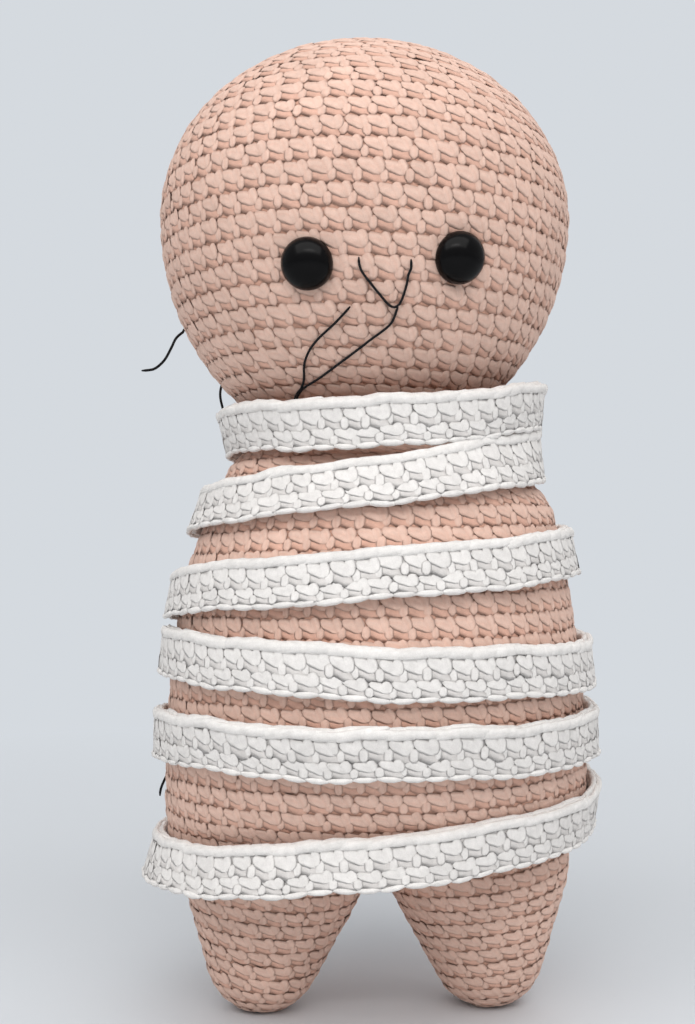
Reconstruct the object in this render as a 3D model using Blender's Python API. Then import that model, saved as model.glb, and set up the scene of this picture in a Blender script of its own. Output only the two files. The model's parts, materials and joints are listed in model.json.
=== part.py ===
# Amigurumi doll: crocheted shells with their stuffing, a wound strip and the loose nose thread.
# Metres, +Z up, the face looks along -Y. The origin is on the crotch, midway between the hips.
# Left and right are the doll's own: its left side is +X.

from math import asin, atan2, cos, hypot, pi, radians, sin, sqrt, tan

import bmesh
import bpy
import numpy as np
from mathutils import Vector

# Fabric and fits
FABRIC = 0.0026
CLEARANCE = 0.0003
OVERRUN = 0.002

# Body outline: height, half width and half depth as shares of the three sizes here,
# and the sideways shift of each round as a share of the neck's own shift
BODY_HEIGHT = 0.068
BODY_HALF_WIDTH = 0.0383
BODY_HALF_DEPTH = 0.0360
BODY_OUTLINE_SHARES = [
    (0.004, 0.37, 0.22, 0.0),
    (0.016, 0.70, 0.42, 0.0),
    (0.037, 0.90, 0.56, 0.0),
    (0.066, 0.97, 0.66, 0.0),
    (0.125, 0.99, 0.80, 0.0),
    (0.228, 1.00, 0.92, 0.0),
    (0.368, 0.99, 0.99, 0.0),
    (0.500, 0.975, 1.00, 0.0),
    (0.603, 0.955, 0.99, 0.0),
    (0.706, 0.93, 0.965, 0.0),
    (0.809, 0.89, 0.93, -0.05),
    (0.882, 0.855, 0.885, -0.16),
    (0.956, 0.81, 0.84, -0.26),
    (1.015, 0.745, 0.77, -0.05),
]

# Neck: the body ends in a small dome round the neck centre, and the head sits on it as a cup
NECK_SHIFT = -0.0038
NECK_DOME_RADIUS = 0.0200
NECK_DOME_EDGE = radians(40)
NECK_DOME_FOOT = radians(66)
NECK_FLARE_SHARES = [(1.25, 0.22), (1.06, 0.33)]
NECK_BOSS_RADIUS = 0.0090
SEAM_YARN_RADIUS = 0.0009

# Head: an egg of two half ellipses on the leaning head axis
HEAD_HALF_WIDTH = 0.0375
HEAD_RISE = 0.0320
HEAD_DROP = 0.0422
HEAD_LEAN = radians(2)
HEAD_LIP_ANGLE = radians(54.8)
HEAD_NOD_LIMIT = radians(5)

# Legs: a small sphere at the tip and a large one at the hip, under one skin. The inset is how far
# the hip's sphere stays inside the body's half width
HIP_INSET = 0.0028
HIP_HEIGHT = 0.0010
HIP_RADIUS = 0.0169
LEG_REACH = 0.0172
LEG_TIP_RADIUS = 0.0104
LEG_SPLAY = radians(6.5)
LEG_OPENING_ANGLE = radians(125)
FOOT_FLAT_DEPTH = 0.0005

# Safety eyes: place on the head as an angle from the front and a height over the neck centre
EYE_RADIUS = 0.0043
EYE_DOME_HEIGHT = 0.0037
EYE_RIM_HEIGHT = 0.0005
EYE_SINK = 0.0006
EYE_SHANK_RADIUS = 0.0015
EYE_SHANK_LENGTH = 0.0095
LEFT_EYE_ANGLE = radians(21.8)
RIGHT_EYE_ANGLE = radians(-19.3)
LEFT_EYE_RISE = 0.0367
RIGHT_EYE_RISE = 0.0345
WASHER_RADIUS = 0.0050
WASHER_THICKNESS = 0.0009
WASHER_HUB_RADIUS = 0.0027
WASHER_HUB_HEIGHT = 0.0016

# Wound strip: turns from the doll's right side (whole turns are there, quarters at the front),
# height of its middle as a share of the body's height, and the least distance of its lower and
# upper edges from the body's axis as shares of the body's half width and half depth
STRIP_WIDTH = 0.0084
STRIP_THICKNESS = 0.0024
STRIP_CORNER = 0.0006
STRIP_LIFT = 0.0007
STRIP_LEAN_LIMIT = radians(20)
STRIP_POINTS_PER_TURN = 24
STRIP_PATH_SHARES = [
    (-0.30, 0.100, 0.900, 0.900),
    (-0.15, 0.068, 0.960, 0.940),
    (0.00, 0.035, 1.068, 1.000),
    (0.25, 0.104, 0.894, 0.880),
    (0.50, 0.176, 0.980, 1.018),
    (0.75, 0.265, 0.940, 0.950),
    (1.00, 0.356, 0.900, 0.900),
    (1.25, 0.365, 0.900, 0.900),
    (1.50, 0.369, 0.900, 0.900),
    (1.75, 0.471, 0.900, 0.900),
    (2.00, 0.568, 0.900, 0.900),
    (2.25, 0.547, 0.900, 0.900),
    (2.50, 0.549, 0.900, 0.900),
    (2.75, 0.632, 0.900, 0.900),
    (3.00, 0.712, 0.850, 0.850),
    (3.25, 0.778, 0.850, 0.850),
    (3.50, 0.841, 0.850, 0.850),
    (3.75, 0.887, 0.800, 0.800),
    (4.00, 0.932, 0.760, 0.700),
    (4.25, 0.996, 0.740, 0.730),
    (4.50, 1.091, 0.755, 0.747),
    (4.75, 1.112, 0.790, 0.790),
    (5.00, 1.153, 0.666, 0.718),
    (5.25, 1.147, 0.767, 0.778),
    (5.50, 1.233, 0.747, 0.775),
    (5.72, 1.256, 0.800, 0.830),
]

# Black thread: routes on the face as (across, up from the neck centre), lying on the fabric
THREAD_RADIUS = 0.00025
THREAD_SPACING = 0.0012
NOSE_ROUTE = [
    (-0.0034, 0.0354), (-0.0033, 0.0345), (-0.0028, 0.0333), (-0.0012, 0.0315), (0.0004, 0.0299),
    (0.0018, 0.0286), (0.0028, 0.0282), (0.0036, 0.0287), (0.0041, 0.0298), (0.0046, 0.0319),
    (0.0047, 0.0331), (0.0051, 0.0342), (0.0050, 0.0355),
]
ANCHOR_ROUTE = [
    (0.0031, 0.0272), (0.0026, 0.0259), (0.0015, 0.0248), (-0.0005, 0.0233), (-0.0028, 0.0215),
    (-0.0051, 0.0198), (-0.0083, 0.0176), (-0.0105, 0.0162), (-0.0116, 0.0148), (-0.0118, 0.0132),
]
MOUTH_ROUTE = [
    (-0.0043, 0.0280), (-0.0050, 0.0272), (-0.0067, 0.0254), (-0.0088, 0.0235), (-0.0101, 0.0220),
    (-0.0108, 0.0205), (-0.0112, 0.0192), (-0.0117, 0.0180), (-0.0122, 0.0167), (-0.0127, 0.0152),
    (-0.0129, 0.0135),
]

# Loose thread ends: routes in the head's own frame, from their hole at the back of the head
SHORT_TAIL_ROUTE = [
    (-0.0200, 0.0245, 0.0290), (-0.0228, 0.0232, 0.0305), (-0.0258, 0.0205, 0.0312),
    (-0.0285, 0.0168, 0.0312), (-0.0306, 0.0126, 0.0308), (-0.0321, 0.0088, 0.0300),
    (-0.0332, 0.0062, 0.0289), (-0.0343, 0.0048, 0.0275), (-0.0350, 0.0038, 0.0256),
    (-0.0361, 0.0028, 0.0231), (-0.0376, 0.0021, 0.0214), (-0.0388, 0.0016, 0.0209),
    (-0.0401, 0.0013, 0.0207),
]
LONG_TAIL_ROUTE = [
    (-0.0196, 0.0236, 0.0262), (-0.0218, 0.0252, 0.0256), (-0.0240, 0.0256, 0.0244),
    (-0.0254, 0.0240, 0.0226), (-0.0260, 0.0214, 0.0206), (-0.0260, 0.0202, 0.0185),
    (-0.0253, 0.0209, 0.0160), (-0.0240, 0.0238, 0.0125), (-0.0229, 0.0260, 0.0095),
    (-0.0222, 0.0275, 0.0062), (-0.0221, 0.0289, 0.0030), (-0.0228, 0.0300, -0.0010),
    (-0.0241, 0.0305, -0.0066), (-0.0258, 0.0301, -0.0138), (-0.0273, 0.0295, -0.0221),
    (-0.0286, 0.0288, -0.0303), (-0.0297, 0.0280, -0.0384), (-0.0307, 0.0267, -0.0464),
    (-0.0318, 0.0249, -0.0520), (-0.0331, 0.0230, -0.0554), (-0.0341, 0.0219, -0.0574),
    (-0.0348, 0.0213, -0.0593), (-0.0349, 0.0211, -0.0606),
]
TAIL_SPACING = 0.0014

# Mesh fineness
HEAD_SIDES = 32
BODY_SIDES = 32
NECK_DOME_RINGS = 4
LEG_SIDES = 22
STUFFING_SIDES = 24
EYE_SIDES = 18
CUTTER_SIDES = 28


# Worked out from the sizes above
HIP_OFFSET = BODY_HALF_WIDTH - HIP_RADIUS - HIP_INSET
NECK_CENTRE = Vector((NECK_SHIFT, 0, BODY_HEIGHT))
NECK_CUP_RADIUS = NECK_DOME_RADIUS + CLEARANCE
NECK_BALL_RADIUS = NECK_DOME_RADIUS - FABRIC - CLEARANCE
HEAD_LIP_RADIUS = NECK_CUP_RADIUS * sin(HEAD_LIP_ANGLE)
HEAD_LIP_RISE = NECK_CUP_RADIUS * cos(HEAD_LIP_ANGLE)
HEAD_RISE_OVER_NECK = HEAD_LIP_RISE + HEAD_DROP * sqrt(1 - (HEAD_LIP_RADIUS / HEAD_HALF_WIDTH) ** 2)


def clear_scene():
    for item in list(bpy.data.objects):
        bpy.data.objects.remove(item, do_unlink=True)


def material(name, colour, roughness, metallic=0.0):
    finish = bpy.data.materials.new(name)
    finish.use_nodes = True
    shader = finish.node_tree.nodes["Principled BSDF"]
    shader.inputs["Base Color"].default_value = (*colour, 1.0)
    shader.inputs["Roughness"].default_value = roughness
    shader.inputs["Metallic"].default_value = metallic
    return finish


def axis_point(name, place, lean=0.0):
    """An empty on a joint's axis, turned about Y by the lean."""
    pivot = bpy.data.objects.new(name, None)
    pivot.location = place
    pivot.rotation_euler = (0, lean, 0)
    bpy.context.collection.objects.link(pivot)
    return pivot


def add_mesh(name, points, faces, finish, parent=None, smooth=True):
    mesh = bpy.data.meshes.new(name)
    mesh.from_pydata([tuple(p) for p in points], [], faces)
    cleaner = bmesh.new()
    cleaner.from_mesh(mesh)
    bmesh.ops.recalc_face_normals(cleaner, faces=cleaner.faces)
    cleaner.to_mesh(mesh)
    cleaner.free()
    if smooth:
        mesh.shade_smooth()
        mesh.set_sharp_from_angle(angle=radians(40))
    if finish:
        mesh.materials.append(finish)
    piece = bpy.data.objects.new(name, mesh)
    piece.parent = parent
    bpy.context.collection.objects.link(piece)
    return piece


def lofted(name, rings, finish, parent=None, start=None, end=None, cyclic=False):
    """One closed skin over rings of equal count, with a point at each closed end."""
    rings = np.asarray(rings)
    count, sides = rings.shape[:2]
    points = list(rings.reshape(-1, 3))
    faces = []
    for row in range(count if cyclic else count - 1):
        low = row * sides
        high = (row + 1) % count * sides
        for side in range(sides):
            after = (side + 1) % sides
            faces.append((low + side, low + after, high + after, high + side))
    for tip, row in ((start, 0), (end, count - 1)):
        if tip is None:
            continue
        points.append(tip)
        for side in range(sides):
            faces.append((row * sides + side, row * sides + (side + 1) % sides, len(points) - 1))
    return add_mesh(name, points, faces, finish, parent)


def turned(profile, sides):
    """Rings from (radius, height) pairs turned about Z."""
    angle = np.arange(sides) * 2 * pi / sides
    profile = np.asarray(profile)
    radius = profile[:, 0, None]
    height = np.repeat(profile[:, 1, None], sides, axis=1)
    return np.stack([radius * np.cos(angle), radius * np.sin(angle), height], axis=-1)


def turned_piece(name, profile, sides, finish, parent=None):
    """A turned solid whose first and last profile pairs lie on the axis."""
    rings = turned(profile[1:-1], sides)
    start = (0, 0, profile[0][1])
    end = (0, 0, profile[-1][1])
    return lofted(name, rings, finish, parent, start, end)


def arc(radius, height, first, last, count):
    """Profile pairs on a circle about (0, height), angles from straight down."""
    return [(radius * sin(a), height - radius * cos(a)) for a in np.linspace(first, last, count)]


def cut(piece, cutter):
    cutter.hide_render = True
    cutter.display_type = "WIRE"
    boolean = piece.modifiers.new("cut_" + cutter.name, "BOOLEAN")
    boolean.object = cutter
    boolean.operation = "DIFFERENCE"
    boolean.solver = "EXACT"


def ball_cutter(name, radius, place):
    """A faceted ball whose faces all stay outside the radius."""
    profile = arc(radius / cos(pi / CUTTER_SIDES) ** 2, 0, 0, pi, CUTTER_SIDES // 2 + 1)
    cutter = turned_piece(name, profile, CUTTER_SIDES, None)
    cutter.location = place
    return cutter


def smooth_route(points, spacing):
    """Points about one spacing apart on a Catmull-Rom curve through the route's own points."""
    route = np.asarray(points, dtype=float)
    padded = np.vstack([2 * route[0] - route[1], route, 2 * route[-1] - route[-2]])
    fine = []
    for i in range(len(route) - 1):
        a, b, c, d = padded[i:i + 4]
        for t in np.linspace(0, 1, 12, endpoint=False):
            bend = (2 * a - 5 * b + 4 * c - d) * t ** 2 + (3 * b - a - 3 * c + d) * t ** 3
            fine.append((2 * b + (c - a) * t + bend) / 2)
    fine.append(route[-1])
    fine = np.array(fine)
    travel = np.concatenate([[0], np.cumsum(np.linalg.norm(np.diff(fine, axis=0), axis=1))])
    steps = max(2, round(travel[-1] / spacing))
    wanted = np.linspace(0, travel[-1], steps + 1)
    return np.stack([np.interp(wanted, travel, fine[:, k]) for k in range(3)], axis=-1)


def thread(name, points, resolution, finish, parent=None):
    curve = bpy.data.curves.new(name, "CURVE")
    curve.dimensions = "3D"
    curve.bevel_depth = THREAD_RADIUS
    curve.bevel_resolution = resolution
    curve.use_fill_caps = True
    spline = curve.splines.new("POLY")
    spline.points.add(len(points) - 1)
    for knot, place in zip(spline.points, points):
        knot.co = (*place, 1)
    curve.materials.append(finish)
    piece = bpy.data.objects.new(name, curve)
    piece.parent = parent
    bpy.context.collection.objects.link(piece)
    return piece


def head_radius(rise, inset=0.0):
    """Radius of the head's egg at a height over the neck centre, drawn in by the inset."""
    offset = np.asarray(rise, dtype=float) - HEAD_RISE_OVER_NECK
    reach = np.where(offset > 0, HEAD_RISE, HEAD_DROP) - inset
    return (HEAD_HALF_WIDTH - inset) * np.sqrt(np.clip(1 - (offset / reach) ** 2, 0, None))


def head_profile(inset, count):
    """Egg profile from where it leaves the neck cup up to the crown, on the head's own axis."""
    angle = np.linspace(-pi / 2, pi / 2, 400)
    reach = np.where(angle > 0, HEAD_RISE, HEAD_DROP) - inset
    radius = (HEAD_HALF_WIDTH - inset) * np.cos(angle)
    rise = HEAD_RISE_OVER_NECK + reach * np.sin(angle)
    lip = np.argmax(np.hypot(radius, rise) >= NECK_CUP_RADIUS)
    chosen = np.linspace(lip, len(angle) - 1, count).round().astype(int)
    profile = [(radius[i], rise[i]) for i in chosen]
    profile[-1] = (0, HEAD_RISE_OVER_NECK + HEAD_RISE - inset)
    return profile


def cup_profile(low, high, count):
    """Profile pairs on the neck cup's sphere between two (radius, rise) pairs, ends left out."""
    first = pi - atan2(low[0], low[1])
    last = pi - atan2(high[0], high[1])
    return arc(NECK_CUP_RADIUS, 0, first, last, count + 2)[1:-1]


def body_rounds():
    """Rows of (height, half width, half depth, sideways shift) from the crotch up to the neck."""
    rounds = []
    for height, width, depth, shift in BODY_OUTLINE_SHARES:
        rounds.append((height * BODY_HEIGHT, width * BODY_HALF_WIDTH, depth * BODY_HALF_DEPTH,
                       shift * NECK_SHIFT))
    for (reach, rise), shift in zip(NECK_FLARE_SHARES, (0.42, 0.85)):
        radius = reach * NECK_DOME_RADIUS
        rounds.append((BODY_HEIGHT + rise * NECK_DOME_RADIUS, radius, radius, shift * NECK_SHIFT))
    for angle in np.linspace(NECK_DOME_FOOT, NECK_DOME_EDGE, NECK_DOME_RINGS):
        radius = NECK_DOME_RADIUS * sin(angle)
        rounds.append((BODY_HEIGHT + NECK_DOME_RADIUS * cos(angle), radius, radius, NECK_SHIFT))
    return np.array(rounds)


def body_rings(inset, sides):
    """Rings of the body's outline drawn in along its normals by the inset."""
    height, width, depth, shift = body_rounds().T
    slope = np.gradient(height, edge_order=1), np.gradient(width, edge_order=1)
    length = np.hypot(*slope)
    inward, upward = slope[0] / length, slope[1] / length
    angle = np.arange(sides) * 2 * pi / sides
    x = shift[:, None] + (width - inset * inward)[:, None] * np.cos(angle)
    y = (depth - inset * inward)[:, None] * np.sin(angle)
    z = np.repeat((height + inset * upward)[:, None], sides, axis=1)
    return np.stack([x, y, z], axis=-1)


def thinned(rings):
    """Every second ring up to the neck flare, then all of them."""
    neck_rings = len(NECK_FLARE_SHARES) + NECK_DOME_RINGS
    return np.concatenate([rings[:-neck_rings:2], rings[-neck_rings:]])


def body_reach(angle, height):
    """Distance of the body's skin from the Z axis at an angle and a height."""
    rows = body_rounds()
    width, depth, shift = (np.interp(height, rows[:, 0], rows[:, k]) for k in (1, 2, 3))
    return shift * np.cos(angle) + 1 / np.sqrt((np.cos(angle) / width) ** 2 + (np.sin(angle) / depth) ** 2)


def head_reach(angle, height):
    """Distance of the head's skin from the Z axis, nodded as far as it goes, zero under its lip."""
    rise = np.asarray(height) - BODY_HEIGHT
    nod = tan(HEAD_NOD_LIMIT) * np.abs(np.sin(angle))
    radius = head_radius(rise + head_radius(rise) * nod) + rise * nod
    shift = NECK_SHIFT + rise * tan(HEAD_LEAN)
    return np.where(rise > HEAD_LIP_RISE, radius + shift * np.cos(angle), 0)


def make_head(yarn, filling, axis):
    outer = head_profile(0, 17)
    inner = head_profile(FABRIC, 13)
    profile = inner[::-1] + cup_profile(inner[0], outer[0], 1) + outer
    shell = turned_piece("head_shell", profile, HEAD_SIDES, yarn, axis)
    wad = head_profile(FABRIC + CLEARANCE, 13)
    base = cup_profile((0, NECK_CUP_RADIUS), wad[0], 3)
    profile = [(0, NECK_CUP_RADIUS)] + base + wad
    stuffing = turned_piece("head_stuffing", profile, HEAD_SIDES, filling, axis)
    return shell, stuffing


def make_body(yarn, filling):
    outer = body_rings(0, BODY_SIDES)
    inner = thinned(body_rings(FABRIC, BODY_SIDES))
    rings = np.concatenate([inner, outer[::-1]])
    shell = lofted("body_shell", rings, yarn, start=(0, 0, FABRIC), end=(0, 0, 0))
    wad = thinned(body_rings(FABRIC + CLEARANCE, BODY_SIDES))[:-3]
    top = (NECK_SHIFT, 0, wad[-1][0][2])
    stuffing = lofted("body_stuffing", wad, filling, start=(0, 0, FABRIC + CLEARANCE), end=top)
    ball = ball_cutter("neck_ball_cutter", NECK_BALL_RADIUS + CLEARANCE, NECK_CENTRE)
    cut(stuffing, ball)
    return shell, stuffing


def make_neck(yarn, filling, axis):
    """The firm wad in the neck, and the yarn that sews head and body together round its groove."""
    foot = pi - asin(NECK_BOSS_RADIUS / NECK_BALL_RADIUS)
    top = NECK_DOME_RADIUS
    edge = pi - asin(NECK_BOSS_RADIUS / top)
    profile = arc(NECK_BALL_RADIUS, 0, 0, foot, 11) + arc(top, 0, edge, pi, 4)
    turned_piece("neck_stuffing", profile, STUFFING_SIDES, filling, axis)
    slope = atan2(HEAD_DROP ** 2 * HEAD_LIP_RADIUS,
                  HEAD_HALF_WIDTH ** 2 * (HEAD_RISE_OVER_NECK - HEAD_LIP_RISE))
    bisector = (slope - HEAD_LIP_ANGLE) / 2
    reach = (SEAM_YARN_RADIUS + CLEARANCE) / sin((slope + HEAD_LIP_ANGLE) / 2)
    radius = HEAD_LIP_RADIUS + reach * cos(bisector)
    height = HEAD_LIP_RISE + reach * sin(bisector)
    section = [(radius + SEAM_YARN_RADIUS * cos(a), height + SEAM_YARN_RADIUS * sin(a))
               for a in np.arange(6) * pi / 3]
    lofted("neck_seam", turned(section, STUFFING_SIDES), yarn, axis, cyclic=True)


def leg_profile(inset, last):
    """Profile from the tip's lowest point up the skin over both spheres, to the last angle."""
    meet = pi / 2 - asin((HIP_RADIUS - LEG_TIP_RADIUS) / LEG_REACH)
    low = arc(LEG_TIP_RADIUS - inset, -LEG_REACH, 0, meet, 5)
    high = arc(HIP_RADIUS - inset, 0, meet, last, 7)
    return low + high


def make_leg(side, sign, yarn, filling, axis):
    lean = bpy.data.objects.new(side + "_leg_lean", None)
    lean.parent = axis
    lean.rotation_euler = (0, -sign * LEG_SPLAY, 0)
    bpy.context.collection.objects.link(lean)
    outer = leg_profile(0, LEG_OPENING_ANGLE)
    inner = leg_profile(FABRIC, LEG_OPENING_ANGLE)
    shell = turned_piece(side + "_leg_shell", inner + outer[::-1], LEG_SIDES, yarn, lean)
    edge = LEG_OPENING_ANGLE + 2 * CLEARANCE / HIP_RADIUS
    inside = leg_profile(FABRIC + CLEARANCE, edge)
    profile = inside + arc(HIP_RADIUS, 0, edge, pi, 5)
    stuffing = turned_piece(side + "_leg_stuffing", profile, LEG_SIDES, filling, lean)
    return shell, stuffing


def foot_level():
    return HIP_HEIGHT - LEG_REACH * cos(LEG_SPLAY) - LEG_TIP_RADIUS + FOOT_FLAT_DEPTH


def make_legs(body_shell, body_stuffing, yarn, filling):
    """Both legs, cut flat under their tips, and the sockets that their hip balls leave in the body."""
    span = 2 * (HIP_OFFSET + HIP_RADIUS) + 2 * OVERRUN
    bpy.ops.mesh.primitive_cube_add(size=1)
    floor_cutter = bpy.context.object
    floor_cutter.name = "floor_cutter"
    floor_cutter.dimensions = (span, span, OVERRUN)
    bpy.ops.object.transform_apply(scale=True)
    floor_cutter.location = (0, 0, foot_level() - OVERRUN / 2)
    for side, sign in (("left", 1), ("right", -1)):
        hip = Vector((sign * HIP_OFFSET, 0, HIP_HEIGHT))
        axis = axis_point(side + "_hip_axis", hip)
        shell, _ = make_leg(side, sign, yarn, filling, axis)
        cut(shell, floor_cutter)
        socket = ball_cutter(side + "_socket_cutter", HIP_RADIUS + CLEARANCE, hip)
        cut(body_shell, socket)
        cut(body_stuffing, socket)


def eye_place(angle, rise):
    """Point on the head's skin at an angle from the front, and the skin's normal there."""
    radius = float(head_radius(rise))
    x, y = radius * sin(angle), -radius * cos(angle)
    offset = rise - HEAD_RISE_OVER_NECK
    reach = HEAD_RISE if offset > 0 else HEAD_DROP
    normal = Vector((x / HEAD_HALF_WIDTH ** 2, y / HEAD_HALF_WIDTH ** 2, offset / reach ** 2))
    return Vector((x, y, rise)), normal.normalized()


def make_eye(side, angle, rise, shell, stuffing, plastic, washer_plastic, axis):
    place, normal = eye_place(angle, rise)
    seat = axis_point(side + "_eye_seat", place)
    seat.rotation_euler = normal.to_track_quat("Z", "Y").to_euler()
    seat.parent = axis
    base = -EYE_SINK
    dome = [(EYE_RADIUS * cos(a), base + EYE_RIM_HEIGHT + (EYE_DOME_HEIGHT - EYE_RIM_HEIGHT) * sin(a))
            for a in np.linspace(0, pi / 2, 6)[:-1]]
    profile = [(0, -EYE_SHANK_LENGTH), (EYE_SHANK_RADIUS, -EYE_SHANK_LENGTH), (EYE_SHANK_RADIUS, base),
               (EYE_RADIUS, base)] + dome + [(0, base + EYE_DOME_HEIGHT)]
    turned_piece(side + "_eye", profile, EYE_SIDES, plastic, seat)

    bore = EYE_SHANK_RADIUS + CLEARANCE
    bend = WASHER_RADIUS ** 2 / (2 * (HEAD_HALF_WIDTH - FABRIC))
    facet_depth = HEAD_HALF_WIDTH * (1 - cos(pi / HEAD_SIDES) ** 2)
    top = -FABRIC - CLEARANCE - bend - facet_depth
    low = top - WASHER_THICKNESS
    hub = low - WASHER_HUB_HEIGHT
    ring = [(bore, top), (WASHER_RADIUS, top), (WASHER_RADIUS, low), (WASHER_HUB_RADIUS, low),
            (WASHER_HUB_RADIUS, hub), (bore, hub)]
    lofted(side + "_eye_washer", turned(ring, EYE_SIDES), washer_plastic, seat, cyclic=True)

    recess = EYE_RADIUS + CLEARANCE
    floor = base - CLEARANCE
    hole = [(0, -FABRIC - OVERRUN), (bore, -FABRIC - OVERRUN), (bore, floor), (recess, floor),
            (recess, OVERRUN), (0, OVERRUN)]
    cut(shell, turned_piece(side + "_eye_hole_cutter", hole, EYE_SIDES, None, seat))
    pocket_end = -EYE_SHANK_LENGTH - CLEARANCE
    pocket_radius = WASHER_RADIUS + CLEARANCE
    pocket = [(0, pocket_end), (pocket_radius, pocket_end), (pocket_radius, OVERRUN), (0, OVERRUN)]
    cut(stuffing, turned_piece(side + "_eye_pocket_cutter", pocket, EYE_SIDES, None, seat))


def strip_edges(turn, half_step):
    """Reach and height of the strip's inner face at its lower and upper edges for each turn value.

    The face leans with what lies under it, up to the lean limit, and stays one lift outside
    the body's skin and the head's underside, also between two points of the strip.
    """
    rows = np.array(STRIP_PATH_SHARES)
    middle = smooth_values(turn, rows[:, 0], rows[:, 1]) * BODY_HEIGHT
    angle = pi + 2 * pi * turn
    girth = 1 / np.sqrt((np.cos(angle) / BODY_HALF_WIDTH) ** 2 + (np.sin(angle) / BODY_HALF_DEPTH) ** 2)
    low = girth * smooth_values(turn, rows[:, 0], rows[:, 2])
    top = girth * smooth_values(turn, rows[:, 0], rows[:, 3])
    heights = middle[:, None] + np.linspace(-0.5, 0.5, 11) * STRIP_WIDTH
    under = np.maximum(body_reach(angle[:, None], heights), head_reach(angle[:, None], heights))
    under = (under + STRIP_LIFT) / cos(half_step)
    low = np.maximum(low, under[:, 0])
    top = np.maximum(top, under[:, -1])
    drop = STRIP_WIDTH * tan(STRIP_LEAN_LIMIT)
    low, top = np.maximum(low, top - drop), np.maximum(top, low - drop)
    face = low[:, None] + (top - low)[:, None] * np.linspace(0, 1, 11)
    lift = np.max(under - face, axis=1).clip(0, None)
    return angle, middle, low + lift, top + lift


def smooth_values(wanted, at, values):
    """Catmull-Rom interpolation of values given at unevenly spaced places."""
    slope = np.gradient(values, at)
    i = np.clip(np.searchsorted(at, wanted, side="right") - 1, 0, len(at) - 2)
    span = at[i + 1] - at[i]
    t = (wanted - at[i]) / span
    rise = values[i] * (1 + 2 * t) * (1 - t) ** 2 + slope[i] * span * t * (1 - t) ** 2
    return rise + values[i + 1] * t ** 2 * (3 - 2 * t) + slope[i + 1] * span * t ** 2 * (t - 1)


def strip_sections():
    """Closed eight-sided sections of the strip along its winding."""
    first, last = STRIP_PATH_SHARES[0][0], STRIP_PATH_SHARES[-1][0]
    turn = np.linspace(first, last, round((last - first) * STRIP_POINTS_PER_TURN) + 1)
    angle, middle, low, top = strip_edges(turn, pi / STRIP_POINTS_PER_TURN)
    lean = np.arctan2(top - low, STRIP_WIDTH)
    half = STRIP_WIDTH / 2
    corner = STRIP_CORNER
    thick = STRIP_THICKNESS
    outline = [(-half, corner), (-half + corner, 0), (half - corner, 0), (half, corner),
               (half, thick - corner), (half - corner, thick), (-half + corner, thick),
               (-half, thick - corner)]
    sections = []
    for up, out in outline:
        reach = (low + top) / 2 + up * np.sin(lean) + out * np.cos(lean)
        height = middle + up * np.cos(lean) - out * np.sin(lean)
        sections.append(np.stack([reach * np.cos(angle), reach * np.sin(angle), height], axis=-1))
    return np.stack(sections, axis=1)


def least_self_gap(sections):
    """Least distance between the strip's points and the same ones about one turn further on."""
    one_turn = STRIP_POINTS_PER_TURN
    gap = []
    for shift in range(-3, 4):
        low = sections[:len(sections) - one_turn - shift]
        high = sections[one_turn + shift:]
        apart = low[:, :, None, :] - high[:len(low), None, :, :]
        gap.append(np.linalg.norm(apart, axis=-1).min())
    return min(gap)


def make_strip(yarn):
    sections = strip_sections()
    print("least gap between the strip's turns, in metres:", round(float(least_self_gap(sections)), 5))
    lofted("wrap_strip", sections, yarn, start=sections[0].mean(axis=0), end=sections[-1].mean(axis=0))


def on_face(route):
    """Points of a thread that lies on the face, from its (across, up) route."""
    rise = THREAD_RADIUS + CLEARANCE
    points = []
    for across, up in route:
        radius = float(head_radius(up, -rise))
        points.append((across, -sqrt(radius ** 2 - across ** 2), up))
    return smooth_route(points, THREAD_SPACING)


def off_head(route):
    """Points of a loose thread, moved out of the head's skin where the route dips into it."""
    points = smooth_route(route, TAIL_SPACING)
    rise = THREAD_RADIUS + 2 * CLEARANCE
    distance = np.hypot(points[:, 0], points[:, 1])
    wanted = np.maximum(distance, head_radius(points[:, 2], -rise))
    points[:, :2] *= (wanted / distance)[:, None]
    return points


def make_threads(black, axis):
    for name, route in (("nose_stitch", NOSE_ROUTE), ("nose_anchor_thread", ANCHOR_ROUTE),
                        ("mouth_thread", MOUTH_ROUTE)):
        thread(name, on_face(route), 1, black, axis)
    for name, route in (("short_thread_tail", SHORT_TAIL_ROUTE), ("long_thread_tail", LONG_TAIL_ROUTE)):
        thread(name, off_head(route), 2, black, axis)


def make_doll():
    clear_scene()
    peach = material("peach_yarn", (0.87, 0.62, 0.50), 0.9)
    white = material("white_yarn", (0.84, 0.83, 0.81), 0.9)
    black = material("black_thread", (0.02, 0.02, 0.022), 0.6)
    glossy = material("eye_plastic", (0.01, 0.01, 0.012), 0.12)
    fill = material("fibre_fill", (0.92, 0.92, 0.90), 1.0)
    washer = material("washer_plastic", (0.85, 0.85, 0.83), 0.5)
    head_axis = axis_point("head_axis", NECK_CENTRE, HEAD_LEAN)
    head_shell, head_stuffing = make_head(peach, fill, head_axis)
    make_eye("left", LEFT_EYE_ANGLE, LEFT_EYE_RISE, head_shell, head_stuffing, glossy, washer, head_axis)
    make_eye("right", RIGHT_EYE_ANGLE, RIGHT_EYE_RISE, head_shell, head_stuffing, glossy, washer, head_axis)
    make_neck(peach, fill, head_axis)
    body_shell, body_stuffing = make_body(peach, fill)
    make_legs(body_shell, body_stuffing, peach, fill)
    make_strip(white)
    make_threads(black, head_axis)


make_doll()
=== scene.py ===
# %% [markdown]
# # A crocheted doll, stitch by stitch
# The doll is an unfinished amigurumi: a peach head and body worked round and round in single
# crochet, two short legs, black safety eyes, a thread nose, and a white strip wound about it.
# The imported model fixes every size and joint, so the script starts by loading it. All lengths
# are in metres, +Z is up, the face looks along -Y and the doll's own left is +X.

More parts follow.
